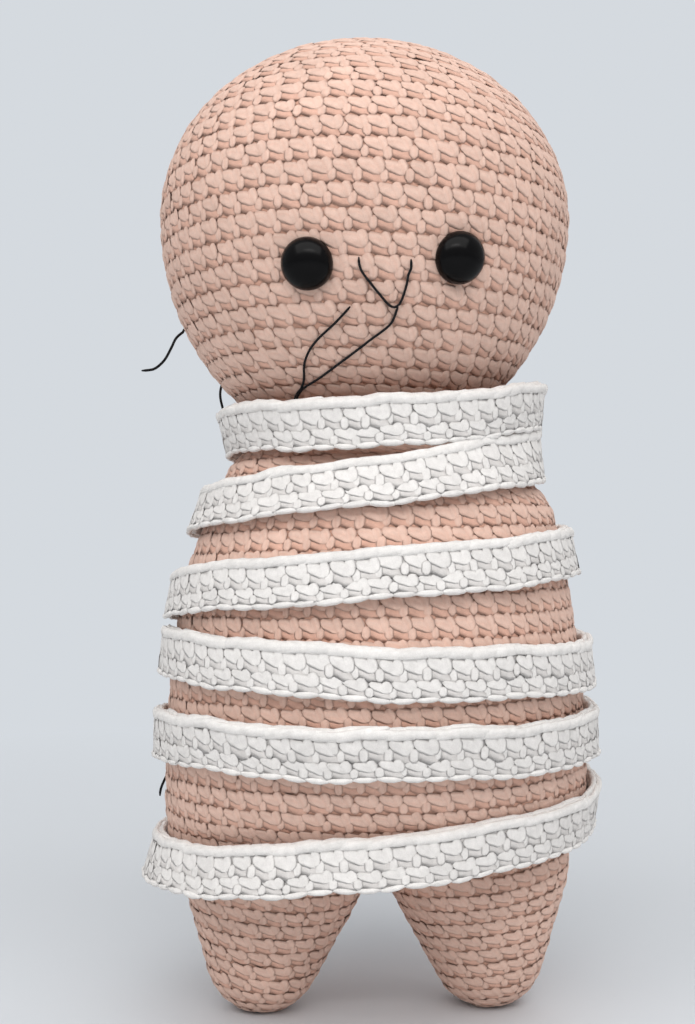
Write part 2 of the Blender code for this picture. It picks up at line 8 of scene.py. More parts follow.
# %% Load the fixed frame
import json

import bpy
import numpy as np
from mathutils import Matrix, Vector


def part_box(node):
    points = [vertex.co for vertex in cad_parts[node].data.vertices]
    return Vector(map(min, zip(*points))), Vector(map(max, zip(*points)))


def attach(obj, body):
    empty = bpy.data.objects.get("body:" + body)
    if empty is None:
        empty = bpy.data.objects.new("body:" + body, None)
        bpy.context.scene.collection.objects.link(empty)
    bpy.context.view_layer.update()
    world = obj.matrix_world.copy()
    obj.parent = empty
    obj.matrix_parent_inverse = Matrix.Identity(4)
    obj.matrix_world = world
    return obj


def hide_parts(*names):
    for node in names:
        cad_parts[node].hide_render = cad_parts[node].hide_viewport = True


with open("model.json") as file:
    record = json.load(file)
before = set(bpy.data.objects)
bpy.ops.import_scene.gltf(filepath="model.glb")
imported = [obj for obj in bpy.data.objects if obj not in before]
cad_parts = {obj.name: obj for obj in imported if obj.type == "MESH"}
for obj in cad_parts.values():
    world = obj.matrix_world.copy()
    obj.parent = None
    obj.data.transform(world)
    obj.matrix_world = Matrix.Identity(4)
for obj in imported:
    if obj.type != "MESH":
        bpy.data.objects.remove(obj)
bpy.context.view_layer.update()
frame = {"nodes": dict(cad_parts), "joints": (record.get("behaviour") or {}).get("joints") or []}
joints = {joint["name"]: joint for joint in frame["joints"]}
neck = np.array(joints["head_nod"]["pos_m"])
head_axis = np.array(joints["head_turn"]["axis"])
hips = {side: np.array(joints[side + "_leg_swing"]["pos_m"]) for side in ("left", "right")}

# %% [markdown]
# ## The camera
# The photograph looks at the doll from a quarter of a metre away, a little from its right side,
# with the lens level with the chest. A short distance makes the near face larger than the hips,
# so the distance matters as much as the field of view. The doll's axis stands right of the
# picture's middle because the camera is turned a little to the left.

# %% Place the camera where the photographer stood
CAMERA_DISTANCE = 0.248
CAMERA_YAW = np.radians(5.3)
CAMERA_HEIGHT = 0.0561
CAMERA_PITCH = np.radians(1.84)
CAMERA_TURN = np.radians(5.3 - 1.2)
FOCAL_IN_IMAGE_HEIGHTS = 1340 / 1024
SENSOR = 36.0


def place_camera():
    """Camera on a circle round the doll: (-d sin yaw, -d cos yaw, h), turned and pitched by given angles."""
    data = bpy.data.cameras.new("photo_camera")
    data.sensor_width = SENSOR
    data.lens = SENSOR * FOCAL_IN_IMAGE_HEIGHTS
    data.clip_start = 0.01
    data.clip_end = 10.0
    camera = bpy.data.objects.new("photo_camera", data)
    camera.location = (-CAMERA_DISTANCE * np.sin(CAMERA_YAW), -CAMERA_DISTANCE * np.cos(CAMERA_YAW),
                       CAMERA_HEIGHT)
    camera.rotation_euler = (np.pi / 2 + CAMERA_PITCH, 0, -CAMERA_TURN)
    bpy.context.scene.collection.objects.link(camera)
    bpy.context.scene.camera = camera
    return camera


camera = place_camera()
print("camera at", [round(c, 4) for c in camera.location])

# %% [markdown]
# ## Meshes from arrays
# Thousands of stitches are too many for a loop over vertices. Every shape below is an array of
# points and an array of faces, and this helper hands both to Blender in one go.

# %% A mesh from arrays of points, quads and triangles


def mesh_from_arrays(name, points, quads, tris, uv=None, marks=None, material_index=None):
    """A mesh whose loops are the quads' corners and then the triangles', with smooth faces.

    marks holds point attributes by name: plain numbers, or a vector for each point.
    """
    mesh = bpy.data.meshes.new(name)
    quads = np.asarray(quads, dtype=np.int32).reshape(-1, 4)
    tris = np.asarray(tris, dtype=np.int32).reshape(-1, 3)
    loops = np.concatenate([quads.ravel(), tris.ravel()])
    totals = np.concatenate([np.full(len(quads), 4), np.full(len(tris), 3)]).astype(np.int32)
    starts = np.concatenate([[0], np.cumsum(totals)[:-1]]).astype(np.int32)
    mesh.vertices.add(len(points))
    mesh.vertices.foreach_set("co", np.asarray(points, dtype=np.float32).ravel())
    mesh.loops.add(len(loops))
    mesh.loops.foreach_set("vertex_index", loops)
    mesh.polygons.add(len(totals))
    mesh.polygons.foreach_set("loop_start", starts)
    mesh.polygons.foreach_set("loop_total", totals)
    mesh.polygons.foreach_set("use_smooth", np.ones(len(totals), dtype=bool))
    if material_index is not None:
        mesh.polygons.foreach_set("material_index", np.asarray(material_index, dtype=np.int32))
    if uv is not None:
        layer = mesh.uv_layers.new(name="strand")
        layer.data.foreach_set("uv", np.asarray(uv, dtype=np.float32)[loops].ravel())
    for label, values in (marks or {}).items():
        values = np.asarray(values, dtype=np.float32)
        kind, field = ("FLOAT", "value") if values.ndim == 1 else ("FLOAT_VECTOR", "vector")
        mesh.attributes.new(label, kind, "POINT").data.foreach_set(field, values.ravel())
    mesh.update(calc_edges=True)
    mesh.validate()
    return mesh


def add_piece(mesh, materials, body=None, replaced=()):
    """Link a mesh as a piece that rides on a body and stands for its CAD nodes."""
    piece = bpy.data.objects.new(mesh.name, mesh)
    bpy.context.scene.collection.objects.link(piece)
    for finish in materials:
        mesh.materials.append(finish)
    if body:
        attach(piece, body)
    if replaced:
        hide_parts(*replaced)
    return piece


def grid_faces(rows, columns, closed=True):
    """Quads of a grid of points, whose columns join up when it is closed."""
    row, column = np.meshgrid(np.arange(rows - 1), np.arange(columns if closed else columns - 1),
                              indexing="ij")
    after = (column + 1) % columns
    corners = [row * columns + column, row * columns + after,
               (row + 1) * columns + after, (row + 1) * columns + column]
    return np.stack(corners, axis=-1).reshape(-1, 4)


def capped_grid(rows, columns):
    """Quads of closed rings, and the triangles from the end rings to two points kept after them."""
    side = np.arange(columns)
    after = (side + 1) % columns
    first_end = rows * columns
    last_ring = first_end - columns
    near = np.stack([after, side, np.full(columns, first_end)], axis=-1)
    far = np.stack([side + last_ring, after + last_ring, np.full(columns, first_end + 1)], axis=-1)
    return grid_faces(rows, columns), np.concatenate([near, far])


# %% [markdown]
# ## Yarn
# The yarn is soft acrylic: a few plies twisted together with a haze of fine fibres. One node
# group makes that look for every yarn in the scene. It reads the strand's own UV map, where u
# runs along the strand in millimetres and v once around it, so that the plies wind along each
# stitch, and adds a fine noise for the fibres. Each stitch also carries a small random shade.

# %% Node helpers


def new_group(name, inputs, outputs):
    """A shader node group with named sockets: inputs are (name, type, default) rows."""
    group = bpy.data.node_groups.new(name, "ShaderNodeTree")
    for socket_name, kind, default in inputs:
        socket = group.interface.new_socket(socket_name, in_out="INPUT", socket_type=kind)
        socket.default_value = default
    for socket_name, kind in outputs:
        group.interface.new_socket(socket_name, in_out="OUTPUT", socket_type=kind)
    return group, group.nodes.new("NodeGroupInput"), group.nodes.new("NodeGroupOutput")


def math_node(tree, operation, first, second=None):
    """A Math node fed by sockets or plain numbers; returns its output socket."""
    node = tree.nodes.new("ShaderNodeMath")
    node.operation = operation
    for socket, value in zip(node.inputs, (first, second)):
        if value is None:
            continue
        if isinstance(value, (int, float)):
            socket.default_value = value
        else:
            tree.links.new(value, socket)
    return node.outputs[0]


def mix_colour(tree, factor, first, second):
    """A colour Mix node; each colour is a socket or an RGBA tuple; returns its output socket."""
    node = tree.nodes.new("ShaderNodeMix")
    node.data_type = "RGBA"
    for socket, value in ((node.inputs["Factor"], factor), (node.inputs[6], first), (node.inputs[7], second)):
        if hasattr(value, "is_linked"):
            tree.links.new(value, socket)
        else:
            socket.default_value = value
    return node.outputs[2]


# %% The yarn's plies and fibres as one shared effect


def make_yarn_group():
    """Height = plies |sin(pi (n v + u / pitch))| + fibre noise; painted shade darkens the colour between plies and
    in pits.
    """
    group, given, result = new_group(
        "yarn_plies",
        [("Colour", "NodeSocketColor", (0.8, 0.8, 0.8, 1)),
         ("Painted Ply Shade", "NodeSocketColor", (0.5, 0.5, 0.5, 1)),
         ("Painted Pit Shade", "NodeSocketColor", (0.4, 0.4, 0.4, 1)),
         ("Plies", "NodeSocketFloat", 4.0),
         ("Turns per mm", "NodeSocketFloat", 0.35),
         ("Ply Depth", "NodeSocketFloat", 0.5),
         ("Shade Spread", "NodeSocketFloat", 0.12)],
        [("Colour", "NodeSocketColor"), ("Height", "NodeSocketFloat"), ("Roughness", "NodeSocketFloat")])
    strand = group.nodes.new("ShaderNodeUVMap")
    strand.uv_map = "strand"
    split = group.nodes.new("ShaderNodeSeparateXYZ")
    group.links.new(strand.outputs["UV"], split.inputs[0])
    around = math_node(group, "MULTIPLY", split.outputs["Y"], given.outputs["Plies"])
    along = math_node(group, "MULTIPLY", split.outputs["X"], given.outputs["Turns per mm"])
    phase = math_node(group, "MULTIPLY", math_node(group, "ADD", around, along), float(np.pi))
    ply = math_node(group, "ABSOLUTE", math_node(group, "SINE", phase))
    ply_shade = math_node(group, "MULTIPLY", math_node(group, "SUBTRACT", 1.0, ply), given.outputs["Ply Depth"])

    place = group.nodes.new("ShaderNodeTexCoord")
    fibre = group.nodes.new("ShaderNodeTexNoise")
    fibre.inputs["Scale"].default_value = 5200.0
    fibre.inputs["Detail"].default_value = 3.0
    group.links.new(place.outputs["Object"], fibre.inputs["Vector"])
    soft = group.nodes.new("ShaderNodeTexNoise")
    soft.inputs["Scale"].default_value = 900.0
    soft.inputs["Detail"].default_value = 2.0
    group.links.new(place.outputs["Object"], soft.inputs["Vector"])

    depth = group.nodes.new("ShaderNodeAttribute")
    depth.attribute_name = "depth"
    # Painted shade: the colour darkens between the plies, and towards the pit shade colour where a point lies low
    # in the fabric.
    darkened = mix_colour(group, ply_shade, given.outputs["Colour"], given.outputs["Painted Ply Shade"])
    darkened = mix_colour(group, depth.outputs["Fac"], darkened, given.outputs["Painted Pit Shade"])
    fleck = math_node(group, "MULTIPLY", math_node(group, "SUBTRACT", fibre.outputs["Fac"], 0.5), 0.22)
    cloud = math_node(group, "MULTIPLY", math_node(group, "SUBTRACT", soft.outputs["Fac"], 0.5), 0.30)
    shade = group.nodes.new("ShaderNodeAttribute")
    shade.attribute_name = "shade"
    own = math_node(group, "MULTIPLY", shade.outputs["Fac"], given.outputs["Shade Spread"])
    value = math_node(group, "ADD", math_node(group, "ADD", fleck, cloud), math_node(group, "ADD", own, 1.0))
    tint = group.nodes.new("ShaderNodeVectorMath")
    tint.operation = "SCALE"
    group.links.new(darkened, tint.inputs[0])
    group.links.new(value, tint.inputs["Scale"])
    group.links.new(tint.outputs[0], result.inputs["Colour"])
    lump = math_node(group, "MULTIPLY", fibre.outputs["Fac"], 0.9)
    ridge = math_node(group, "MULTIPLY", ply, given.outputs["Ply Depth"])
    group.links.new(math_node(group, "ADD", ridge, lump), result.inputs["Height"])
    rough = math_node(group, "ADD", math_node(group, "MULTIPLY", fibre.outputs["Fac"], 0.15), 0.78)
    group.links.new(rough, result.inputs["Roughness"])
    return group


yarn_group = make_yarn_group()

# %% Materials that use the yarn effect


def yarn_material(name, colour, ply_shade, pit_shade, plies, turns, depth, bump, haze, spread=0.12):
    """A Principled material whose colour, height and roughness come from the yarn group.

    Fine fibres stand up all over the fabric and even out its light, so the normal leans from the
    strand's own N towards the fabric's normal F by the haze h: the unit vector of N + h F.
    """
    finish = bpy.data.materials.new(name)
    finish.use_nodes = True
    tree = finish.node_tree
    shader = tree.nodes["Principled BSDF"]
    yarn = tree.nodes.new("ShaderNodeGroup")
    yarn.node_tree = yarn_group
    yarn.inputs["Colour"].default_value = (*colour, 1)
    # The second and third colours are painted shade, for the dips between the plies and for the fabric's pits.
    yarn.inputs["Painted Ply Shade"].default_value = (*ply_shade, 1)
    yarn.inputs["Painted Pit Shade"].default_value = (*pit_shade, 1)
    yarn.inputs["Plies"].default_value = plies
    yarn.inputs["Turns per mm"].default_value = turns
    yarn.inputs["Ply Depth"].default_value = depth
    yarn.inputs["Shade Spread"].default_value = spread
    tree.links.new(yarn.outputs["Colour"], shader.inputs["Base Color"])
    tree.links.new(yarn.outputs["Roughness"], shader.inputs["Roughness"])
    relief = tree.nodes.new("ShaderNodeBump")
    relief.inputs["Strength"].default_value = bump
    relief.inputs["Distance"].default_value = 0.00012
    tree.links.new(yarn.outputs["Height"], relief.inputs["Height"])
    fabric = tree.nodes.new("ShaderNodeAttribute")
    fabric.attribute_name = "fabric_normal"
    in_world = tree.nodes.new("ShaderNodeVectorTransform")
    in_world.vector_type = "VECTOR"
    in_world.convert_from, in_world.convert_to = "OBJECT", "WORLD"
    tree.links.new(fabric.outputs["Vector"], in_world.inputs[0])
    lean = [tree.nodes.new("ShaderNodeVectorMath") for _ in range(3)]
    for node, operation in zip(lean, ("SCALE", "ADD", "NORMALIZE")):
        node.operation = operation
    lean[0].inputs["Scale"].default_value = haze
    tree.links.new(in_world.outputs[0], lean[0].inputs[0])
    tree.links.new(relief.outputs["Normal"], lean[1].inputs[0])
    tree.links.new(lean[0].outputs[0], lean[1].inputs[1])
    tree.links.new(lean[1].outputs[0], lean[2].inputs[0])
    tree.links.new(lean[2].outputs[0], shader.inputs["Normal"])
    shader.inputs["Specular IOR Level"].default_value = 0.15
    shader.inputs["Sheen Weight"].default_value = 0.08
    shader.inputs["Sheen Roughness"].default_value = 0.5
    return finish


# After each yarn's own colour come colours of painted shade: one for the dips between the plies, one for the
# fabric's pits, and for white one for the sheet seen in the gaps.
PEACH = (0.775, 0.550, 0.460)
PEACH_PLY_SHADE = (0.72, 0.44, 0.34)
PEACH_PIT_SHADE = (0.68, 0.390, 0.295)
WHITE = (0.83, 0.815, 0.80)
WHITE_PLY_SHADE = (0.77, 0.755, 0.74)
WHITE_PIT_SHADE = (0.64, 0.615, 0.60)
WHITE_GAP_SHADE = (0.66, 0.640, 0.625)
peach_yarn = yarn_material("peach_yarn", PEACH, PEACH_PLY_SHADE, PEACH_PIT_SHADE, 5, 0.15, 0.4, 0.5, 2.4, 0.025)
# The two sheet materials paint shade on the sheet under the stitches, which shows dark in the gaps between them.
peach_gap_shade = yarn_material("peach_painted_gap_shade", PEACH_PIT_SHADE, PEACH_PIT_SHADE, PEACH_PIT_SHADE, 4, 0.45, 0.2, 0.4, 0.0)
white_yarn = yarn_material("white_yarn", WHITE, WHITE_PLY_SHADE, WHITE_PIT_SHADE, 5, 0.15, 0.35, 0.5, 2.4, 0.02)
white_gap_shade = yarn_material("white_painted_gap_shade", WHITE_GAP_SHADE, WHITE_GAP_SHADE, WHITE_GAP_SHADE, 4, 0.45, 0.2, 0.4, 0.0)
print("yarn materials:", peach_yarn.name, white_yarn.name)

# %% [markdown]
# ## One stitch
# Seen from outside, a single crochet looks like a plump heart: a broad leg that slants down to
# the right, a rounder upright leg beside it, a notch between their tops, and a small bead of
# yarn at the lower left where the stitch grips the row below. Each of these is a short closed
# lobe of yarn. A lobe is a tube round a bent path, thick in the middle and drawn to a point at
# both ends, with few faces, because there are thousands of them.

# %% A lobe of yarn along a bent path


def lobe(path, width, height, rings=6, sides=6):
    """Points c(t) + a(t) (w cos f B - h sin f N) for t along a cubic through the path, f around it.

    The swell a(t) = sqrt(1 - |2t - 1|^2.6) makes both ends blunt, and the rings stand closer there.
    B lies across the path in the fabric's plane, and N is the part of the outward direction that
    is square to the path.
    """
    path = np.asarray(path, dtype=float)
    knots = np.linspace(0, 1, len(path))
    t = 0.5 - 0.46 * np.cos(np.linspace(0, np.pi, rings))
    fit = [np.polyfit(knots, path[:, k], min(len(path) - 1, 3)) for k in range(3)]
    centre = np.stack([np.polyval(f, t) for f in fit], axis=-1)
    along = np.stack([np.polyval(np.polyder(f), t) for f in fit], axis=-1)
    along /= np.linalg.norm(along, axis=1)[:, None]
    across = np.cross(along, [0, 0, 1.0])
    across /= np.linalg.norm(across, axis=1)[:, None]
    outward = np.cross(across, along)
    swell = np.sqrt(1 - np.abs(2 * t - 1) ** 2.6)[:, None, None]
    f = np.arange(sides) * 2 * np.pi / sides
    ring = (width * np.cos(f)[None, :, None] * across[:, None]
            - height * np.sin(f)[None, :, None] * outward[:, None])
    points = (centre[:, None] + swell * ring).reshape(-1, 3)
    length = np.linalg.norm(np.diff(path, axis=0), axis=1).sum() * 1000
    uv = np.stack(np.meshgrid(t * length, f / (2 * np.pi), indexing="ij"), axis=-1).reshape(-1, 2)
    ends = np.stack([np.polyval(g, [0.0, 1.0]) for g in fit], axis=-1)
    points = np.concatenate([points, ends])
    uv = np.concatenate([uv, [[0, 0], [length, 0]]])
    return points, *capped_grid(rings, sides), uv


def joined(parts):
    """Several (points, quads, tris, uv) shapes as one, with their faces renumbered."""
    offset = np.cumsum([0] + [len(part[0]) for part in parts[:-1]])
    points = np.concatenate([part[0] for part in parts])
    quads = np.concatenate([part[1].reshape(-1, 4) + o for part, o in zip(parts, offset)])
    tris = np.concatenate([part[2].reshape(-1, 3) + o for part, o in zip(parts, offset)])
    uv = np.concatenate([part[3] for part in parts])
    return points, quads, tris, uv


# %% The heart-shaped stitch, in a cell one unit wide and one unit high
CELL = 0.0040


def heart_stitch():
    """Lobes in metres for a square cell of side CELL, and how much painted shade each point takes.

    The legs and the bead stand out, and the tie between the beads lies lower and takes much painted shade.
    """
    c = CELL
    left_leg = lobe([(-0.50 * c, 0.25 * c, -0.00050), (-0.26 * c, 0.27 * c, -0.00006),
                     (0.06 * c, 0.12 * c, -0.00002), (0.40 * c, -0.12 * c, -0.00040)], 0.285 * c, 0.00050, 5)
    right_leg = lobe([(0.14 * c, 0.52 * c, -0.00060), (0.24 * c, 0.36 * c, -0.00008),
                      (0.30 * c, 0.12 * c, -0.00002), (0.36 * c, -0.16 * c, -0.00045)], 0.275 * c, 0.00050, 5)
    bead = lobe([(-0.46 * c, 0.12 * c, -0.00060), (-0.48 * c, -0.16 * c, -0.00012),
                 (-0.46 * c, -0.50 * c, -0.00060)], 0.22 * c, 0.00046, 4, 6)
    tie = lobe([(-0.40 * c, -0.04 * c, -0.00060), (0.04 * c, -0.24 * c, -0.00026),
                (0.50 * c, -0.44 * c, -0.00060)], 0.28 * c, 0.00034, 4, 4)
    parts = [left_leg, right_leg, bead, tie]
    # Painted shade: the tie takes most, the bead a little, and the legs none.
    least_painted_shade = np.concatenate([np.full(len(part[0]), share) for part, share in zip(parts, (0, 0, 0.05, 0.7))])
    return joined(parts), least_painted_shade


stitch, stitch_painted_shade = heart_stitch()
print("faces in one stitch:", len(stitch[1]) + len(stitch[2]))

# %% [markdown]
# ## Laying stitches on a shape
# A doll's part is a surface P(u, v): u goes once round it, seen from above against the clock and
# starting at the back, and v climbs from its bottom to its top. A round of crochet takes a band
# of v and shares out u among its stitches. The work never closes a round but climbs in one long
# spiral, so v grows a little from each stitch to the next. Narrower rounds hold fewer stitches,
# which is how the real maker shapes the ball.

# %% Stitches over a surface
# Points lower than SHALLOW begin to take painted shade, and below DEEP they take it all.
SHALLOW = 0.0001
DEEP = 0.0010
rng = np.random.default_rng(11)


def with_normal(surface, u, v, step=1e-3):
    """Surface points and outward normals, from central differences of the surface."""
    here = surface(u, v)
    du = surface(u + step, v) - surface(u - step, v)
    dv = surface(u, v + step) - surface(u, v - step)
    normal = np.cross(du, dv)
    normal /= np.maximum(np.linalg.norm(normal, axis=-1, keepdims=True), 1e-12)
    return here, normal


def lay_stitches(surface, cells, shape, relief=1.0, jitter=0.028, least_painted_shade=0.0):
    """Copy a stitch into every cell (u, v, du, dv): P(u + s du, v + t dv) + relief n N.

    Each copy is nudged, turned and swollen a little at random, as handmade stitches are. Marks
    keep each copy's own shade, how low each point lies in the fabric, which sets its painted
    shade together with the least share given, and the fabric's normal.
    """
    points, quads, tris, uv = shape
    u, v, du, dv = (cells[:, k, None] for k in range(4))
    count = len(cells)
    turn = rng.normal(0, 0.05, (count, 1))
    size = 1 + rng.normal(0, 0.04, (count, 1))
    s = points[None, :, 0] / CELL * size
    t = points[None, :, 1] / CELL * size
    s, t = s * np.cos(turn) - t * np.sin(turn), s * np.sin(turn) + t * np.cos(turn)
    s = s + rng.normal(0, jitter, (count, 1))
    t = t + rng.normal(0, jitter * 0.8, (count, 1))
    lift = points[None, :, 2] * size * relief + rng.normal(0, 0.00005, (count, 1))
    here, normal = with_normal(surface, u + s * du, v + t * dv)
    placed = (here + normal * lift[..., None]).reshape(-1, 3)
    offset = (np.arange(count) * len(points))[:, None, None]
    all_quads = (quads[None] + offset).reshape(-1, 4)
    all_tris = (tris[None] + offset).reshape(-1, 3)
    slide = rng.random((count, 1, 2)) * np.array([7.0, 1.0])
    all_uv = (uv[None] + slide).reshape(-1, 2)
    # Painted shade: the lower a point lies, the more it takes the pit colour, and never less than its least share.
    depth = np.maximum(least_painted_shade, np.clip((-points[:, 2] - SHALLOW) / (DEEP - SHALLOW), 0, 1))
    marks = {"shade": np.repeat(rng.normal(0, 1, count), len(points)), "depth": np.tile(depth, count),
             "fabric_normal": normal.reshape(-1, 3)}
    return placed, all_quads, all_tris, all_uv, marks


def rounds(surface, edges, pitches, held, slant=0.17):
    """Cells of one long spiral: w turns from the start, u = w mod 1 and v climbs through edges.

    A round takes as many stitches as its girth holds. Counts within 6 % of one in held are kept at
    it, so that columns run on from round to round, and a share less than that makes them lean. The
    stitches are spaced evenly along the whole spiral, so no gap shows where one round meets the next.
    """
    counts = []
    for low, high, pitch in zip(edges[:-1], edges[1:], pitches):
        ring = surface(np.linspace(0, 1, 73), np.full(73, (low + high) / 2))
        count = max(6, int(round(np.linalg.norm(np.diff(ring, axis=0), axis=1).sum() / pitch)))
        near = [n for n in held if abs(count - n) <= 0.06 * n]
        counts.append((near[0] if near else count) - slant)
    made = np.concatenate([[0], np.cumsum(counts)])
    turns = np.interp(np.arange(int(made[-1])) + 0.5, made, np.arange(len(made)))
    row = turns.astype(int)
    return np.stack([turns - row, np.interp(turns, np.arange(len(edges)), edges),
                     1 / np.array(counts)[row], np.diff(edges)[row]], axis=-1)


def skin_grid(surface, rows, columns, depth, low=0.0, high=1.0):
    """A closed sheet under the stitches: P - depth N on a grid, with a point at each end."""
    v, u = np.meshgrid(np.linspace(low, high, rows), np.arange(columns) / columns, indexing="ij")
    here, normal = with_normal(surface, u, v)
    points = (here - depth * normal).reshape(-1, 3)
    first, last = points[:columns].mean(axis=0), points[-columns:].mean(axis=0)
    uv = np.stack([u.ravel() * 200, v.ravel() * 60], axis=-1)
    uv = np.concatenate([uv, [[0, 0], [0, 60]]])
    return np.concatenate([points, [first, last]]), *capped_grid(rows, columns), uv


def fabric_mesh(name, skin, stitches):
    """One mesh of the skin, material 1, which is painted shade seen in the gaps, and the stitches on it, material
    0.
    """
    shapes = [(skin[0], skin[1], skin[2], skin[3]), stitches[:4]]
    points, quads, tris, uv = joined(shapes)
    marks = {label: np.concatenate([np.zeros((len(skin[0]), *values.shape[1:])), values])
             for label, values in stitches[4].items()}
    index = np.concatenate([np.ones(len(skin[1])), np.zeros(len(stitches[1])),
                            np.ones(len(skin[2])), np.zeros(len(stitches[2]))])
    return mesh_from_arrays(name, points, quads, tris, uv, marks, index)


# %% [markdown]
# ## The head
# The head is an egg of two half ellipses on its own axis, which leans two degrees to the doll's
# left. The point v moves evenly along its outline, so all rounds have the same height. Each eye
# is pulled tight against the fabric by its washer, which leaves a shallow dimple round it.

# %% The head's surface
HEAD_HALF_WIDTH = 0.0375
HEAD_RISE = 0.0320
HEAD_DROP = 0.0422
HEAD_CENTRE_OVER_NECK = 0.0496
HEAD_BOTTOM_ANGLE = np.radians(-62.5)
EYES = {"left": (np.radians(21.8), 0.0367), "right": (np.radians(-19.3), 0.0345)}
EYE_RADIUS = 0.0043
DIMPLE_DEPTH = 0.0006
DIMPLE_RADIUS = 0.0056

side_axis = np.array([head_axis[2], 0, -head_axis[0]])


def head_to_world(points):
    """Points in the head's own frame, seated on the neck centre and leaned with the head's axis."""
    points = np.asarray(points, dtype=float)
    return (neck + points[..., 0, None] * side_axis + points[..., 1, None] * np.array([0, 1.0, 0])
            + points[..., 2, None] * head_axis)


def even_steps(points):
    """Arc length shares along a dense outline, for reading it at even steps, and its whole length."""
    travel = np.concatenate([[0], np.cumsum(np.linalg.norm(np.diff(points, axis=0), axis=1))])
    return travel / travel[-1], travel[-1]


head_angles = np.linspace(HEAD_BOTTOM_ANGLE, np.pi / 2, 400)
head_outline = np.stack([
    HEAD_HALF_WIDTH * np.cos(head_angles),
    HEAD_CENTRE_OVER_NECK + np.where(head_angles > 0, HEAD_RISE, HEAD_DROP) * np.sin(head_angles)], axis=-1)
head_share, head_length = even_steps(head_outline)


def head_radius(up, grow=0.0):
    """Radius of the egg, grown by a little, at a height over the neck centre."""
    offset = np.asarray(up, dtype=float) - HEAD_CENTRE_OVER_NECK
    reach = np.where(offset > 0, HEAD_RISE, HEAD_DROP) + grow
    return (HEAD_HALF_WIDTH + grow) * np.sqrt(np.clip(1 - (offset / reach) ** 2, 0, None))


def eye_centre(side):
    """Point on the egg in the head's frame, and its normal, from the eye's angle and height."""
    angle, up = EYES[side]
    radius = float(head_radius(up))
    place = np.array([radius * np.sin(angle), -radius * np.cos(angle), up])
    reach = HEAD_RISE if up > HEAD_CENTRE_OVER_NECK else HEAD_DROP
    normal = np.array([place[0] / HEAD_HALF_WIDTH ** 2, place[1] / HEAD_HALF_WIDTH ** 2,
                       (up - HEAD_CENTRE_OVER_NECK) / reach ** 2])
    return place, normal / np.linalg.norm(normal)


def head_surface(u, v):
    """r(v) (cos a, sin a), z(v) with a = 90 deg + 360 deg u, pressed in round each eye."""
    angle = np.pi / 2 + 2 * np.pi * np.asarray(u)
    v = np.asarray(v)
    inside = np.clip(v, 0, 1)
    radius = np.interp(inside, head_share, head_outline[:, 0]) + (v - inside) * -0.02
    up = np.interp(inside, head_share, head_outline[:, 1]) + np.minimum(v, 0) * head_length
    point = np.stack(np.broadcast_arrays(radius * np.cos(angle), radius * np.sin(angle), up), axis=-1)
    for side in EYES:
        place, normal = eye_centre(side)
        near = np.exp(-(np.linalg.norm(point - place, axis=-1) / DIMPLE_RADIUS) ** 4)
        point = point - (DIMPLE_DEPTH * near)[..., None] * normal
    return head_to_world(point)


# %% The head's fabric
HEAD_ROUNDS = 26
HEAD_PITCH = 0.0041
RELIEF = 0.36
SKIN_DEPTH = 0.00028

head_edges = np.linspace(0, 1, HEAD_ROUNDS + 1)
head_cells = rounds(head_surface, head_edges, np.full(HEAD_ROUNDS, HEAD_PITCH), [58])
cell_points = head_surface(head_cells[:, 0], head_cells[:, 1])
for side in EYES:
    centre = head_to_world(eye_centre(side)[0])
    keep = np.linalg.norm(cell_points - centre, axis=-1) > EYE_RADIUS * 0.5
    head_cells, cell_points = head_cells[keep], cell_points[keep]
head_mesh = fabric_mesh("head_fabric", skin_grid(head_surface, 60, 96, SKIN_DEPTH, 0.0, 0.995),
                        lay_stitches(head_surface, head_cells, stitch, RELIEF, least_painted_shade=stitch_painted_shade))
head_fabric = add_piece(head_mesh, [peach_yarn, peach_gap_shade], "head", ["head_shell"])
print("head stitches:", len(head_cells), "faces:", len(head_mesh.polygons), "outline:", head_length)

# %% [markdown]
# ## The body
# The body is worked like the head, from between the legs up to the neck. It is a little wider
# than it is deep, and its stitches are smaller near the hips, where the yarn was pulled tighter.
# Its outline is a table of half widths and half depths, smoothed so that no round shows a kink.

# %% The body's outline
BODY_HEIGHT = 0.068
BODY_HALF_WIDTH = 0.0383
BODY_HALF_DEPTH = 0.0360
NECK_SHIFT = -0.0038
NECK_RADIUS = 0.0200
BODY_OUTLINE = np.array([
    (0.004, 0.37, 0.22, 0.0), (0.016, 0.70, 0.42, 0.0), (0.037, 0.90, 0.56, 0.0),
    (0.066, 0.97, 0.66, 0.0), (0.125, 0.99, 0.80, 0.0), (0.228, 1.00, 0.92, 0.0),
    (0.368, 0.99, 0.99, 0.0), (0.500, 0.975, 1.00, 0.0), (0.603, 0.955, 0.99, 0.0),
    (0.706, 0.93, 0.965, 0.0), (0.809, 0.89, 0.93, -0.05), (0.882, 0.855, 0.885, -0.16),
    (0.956, 0.81, 0.84, -0.26), (1.015, 0.745, 0.77, -0.05)])
body_sizes = np.array([BODY_HEIGHT, BODY_HALF_WIDTH, BODY_HALF_DEPTH, NECK_SHIFT])
flare = [(BODY_HEIGHT + rise * NECK_RADIUS, reach * NECK_RADIUS, reach * NECK_RADIUS, shift * NECK_SHIFT)
         for reach, rise, shift in ((1.25, 0.22, 0.42), (1.06, 0.33, 0.85))]
dome = [(BODY_HEIGHT + NECK_RADIUS * np.cos(a), NECK_RADIUS * np.sin(a), NECK_RADIUS * np.sin(a), NECK_SHIFT)
        for a in np.radians([66, 57, 48, 40])]
body_rows = np.concatenate([BODY_OUTLINE * body_sizes, flare, dome])


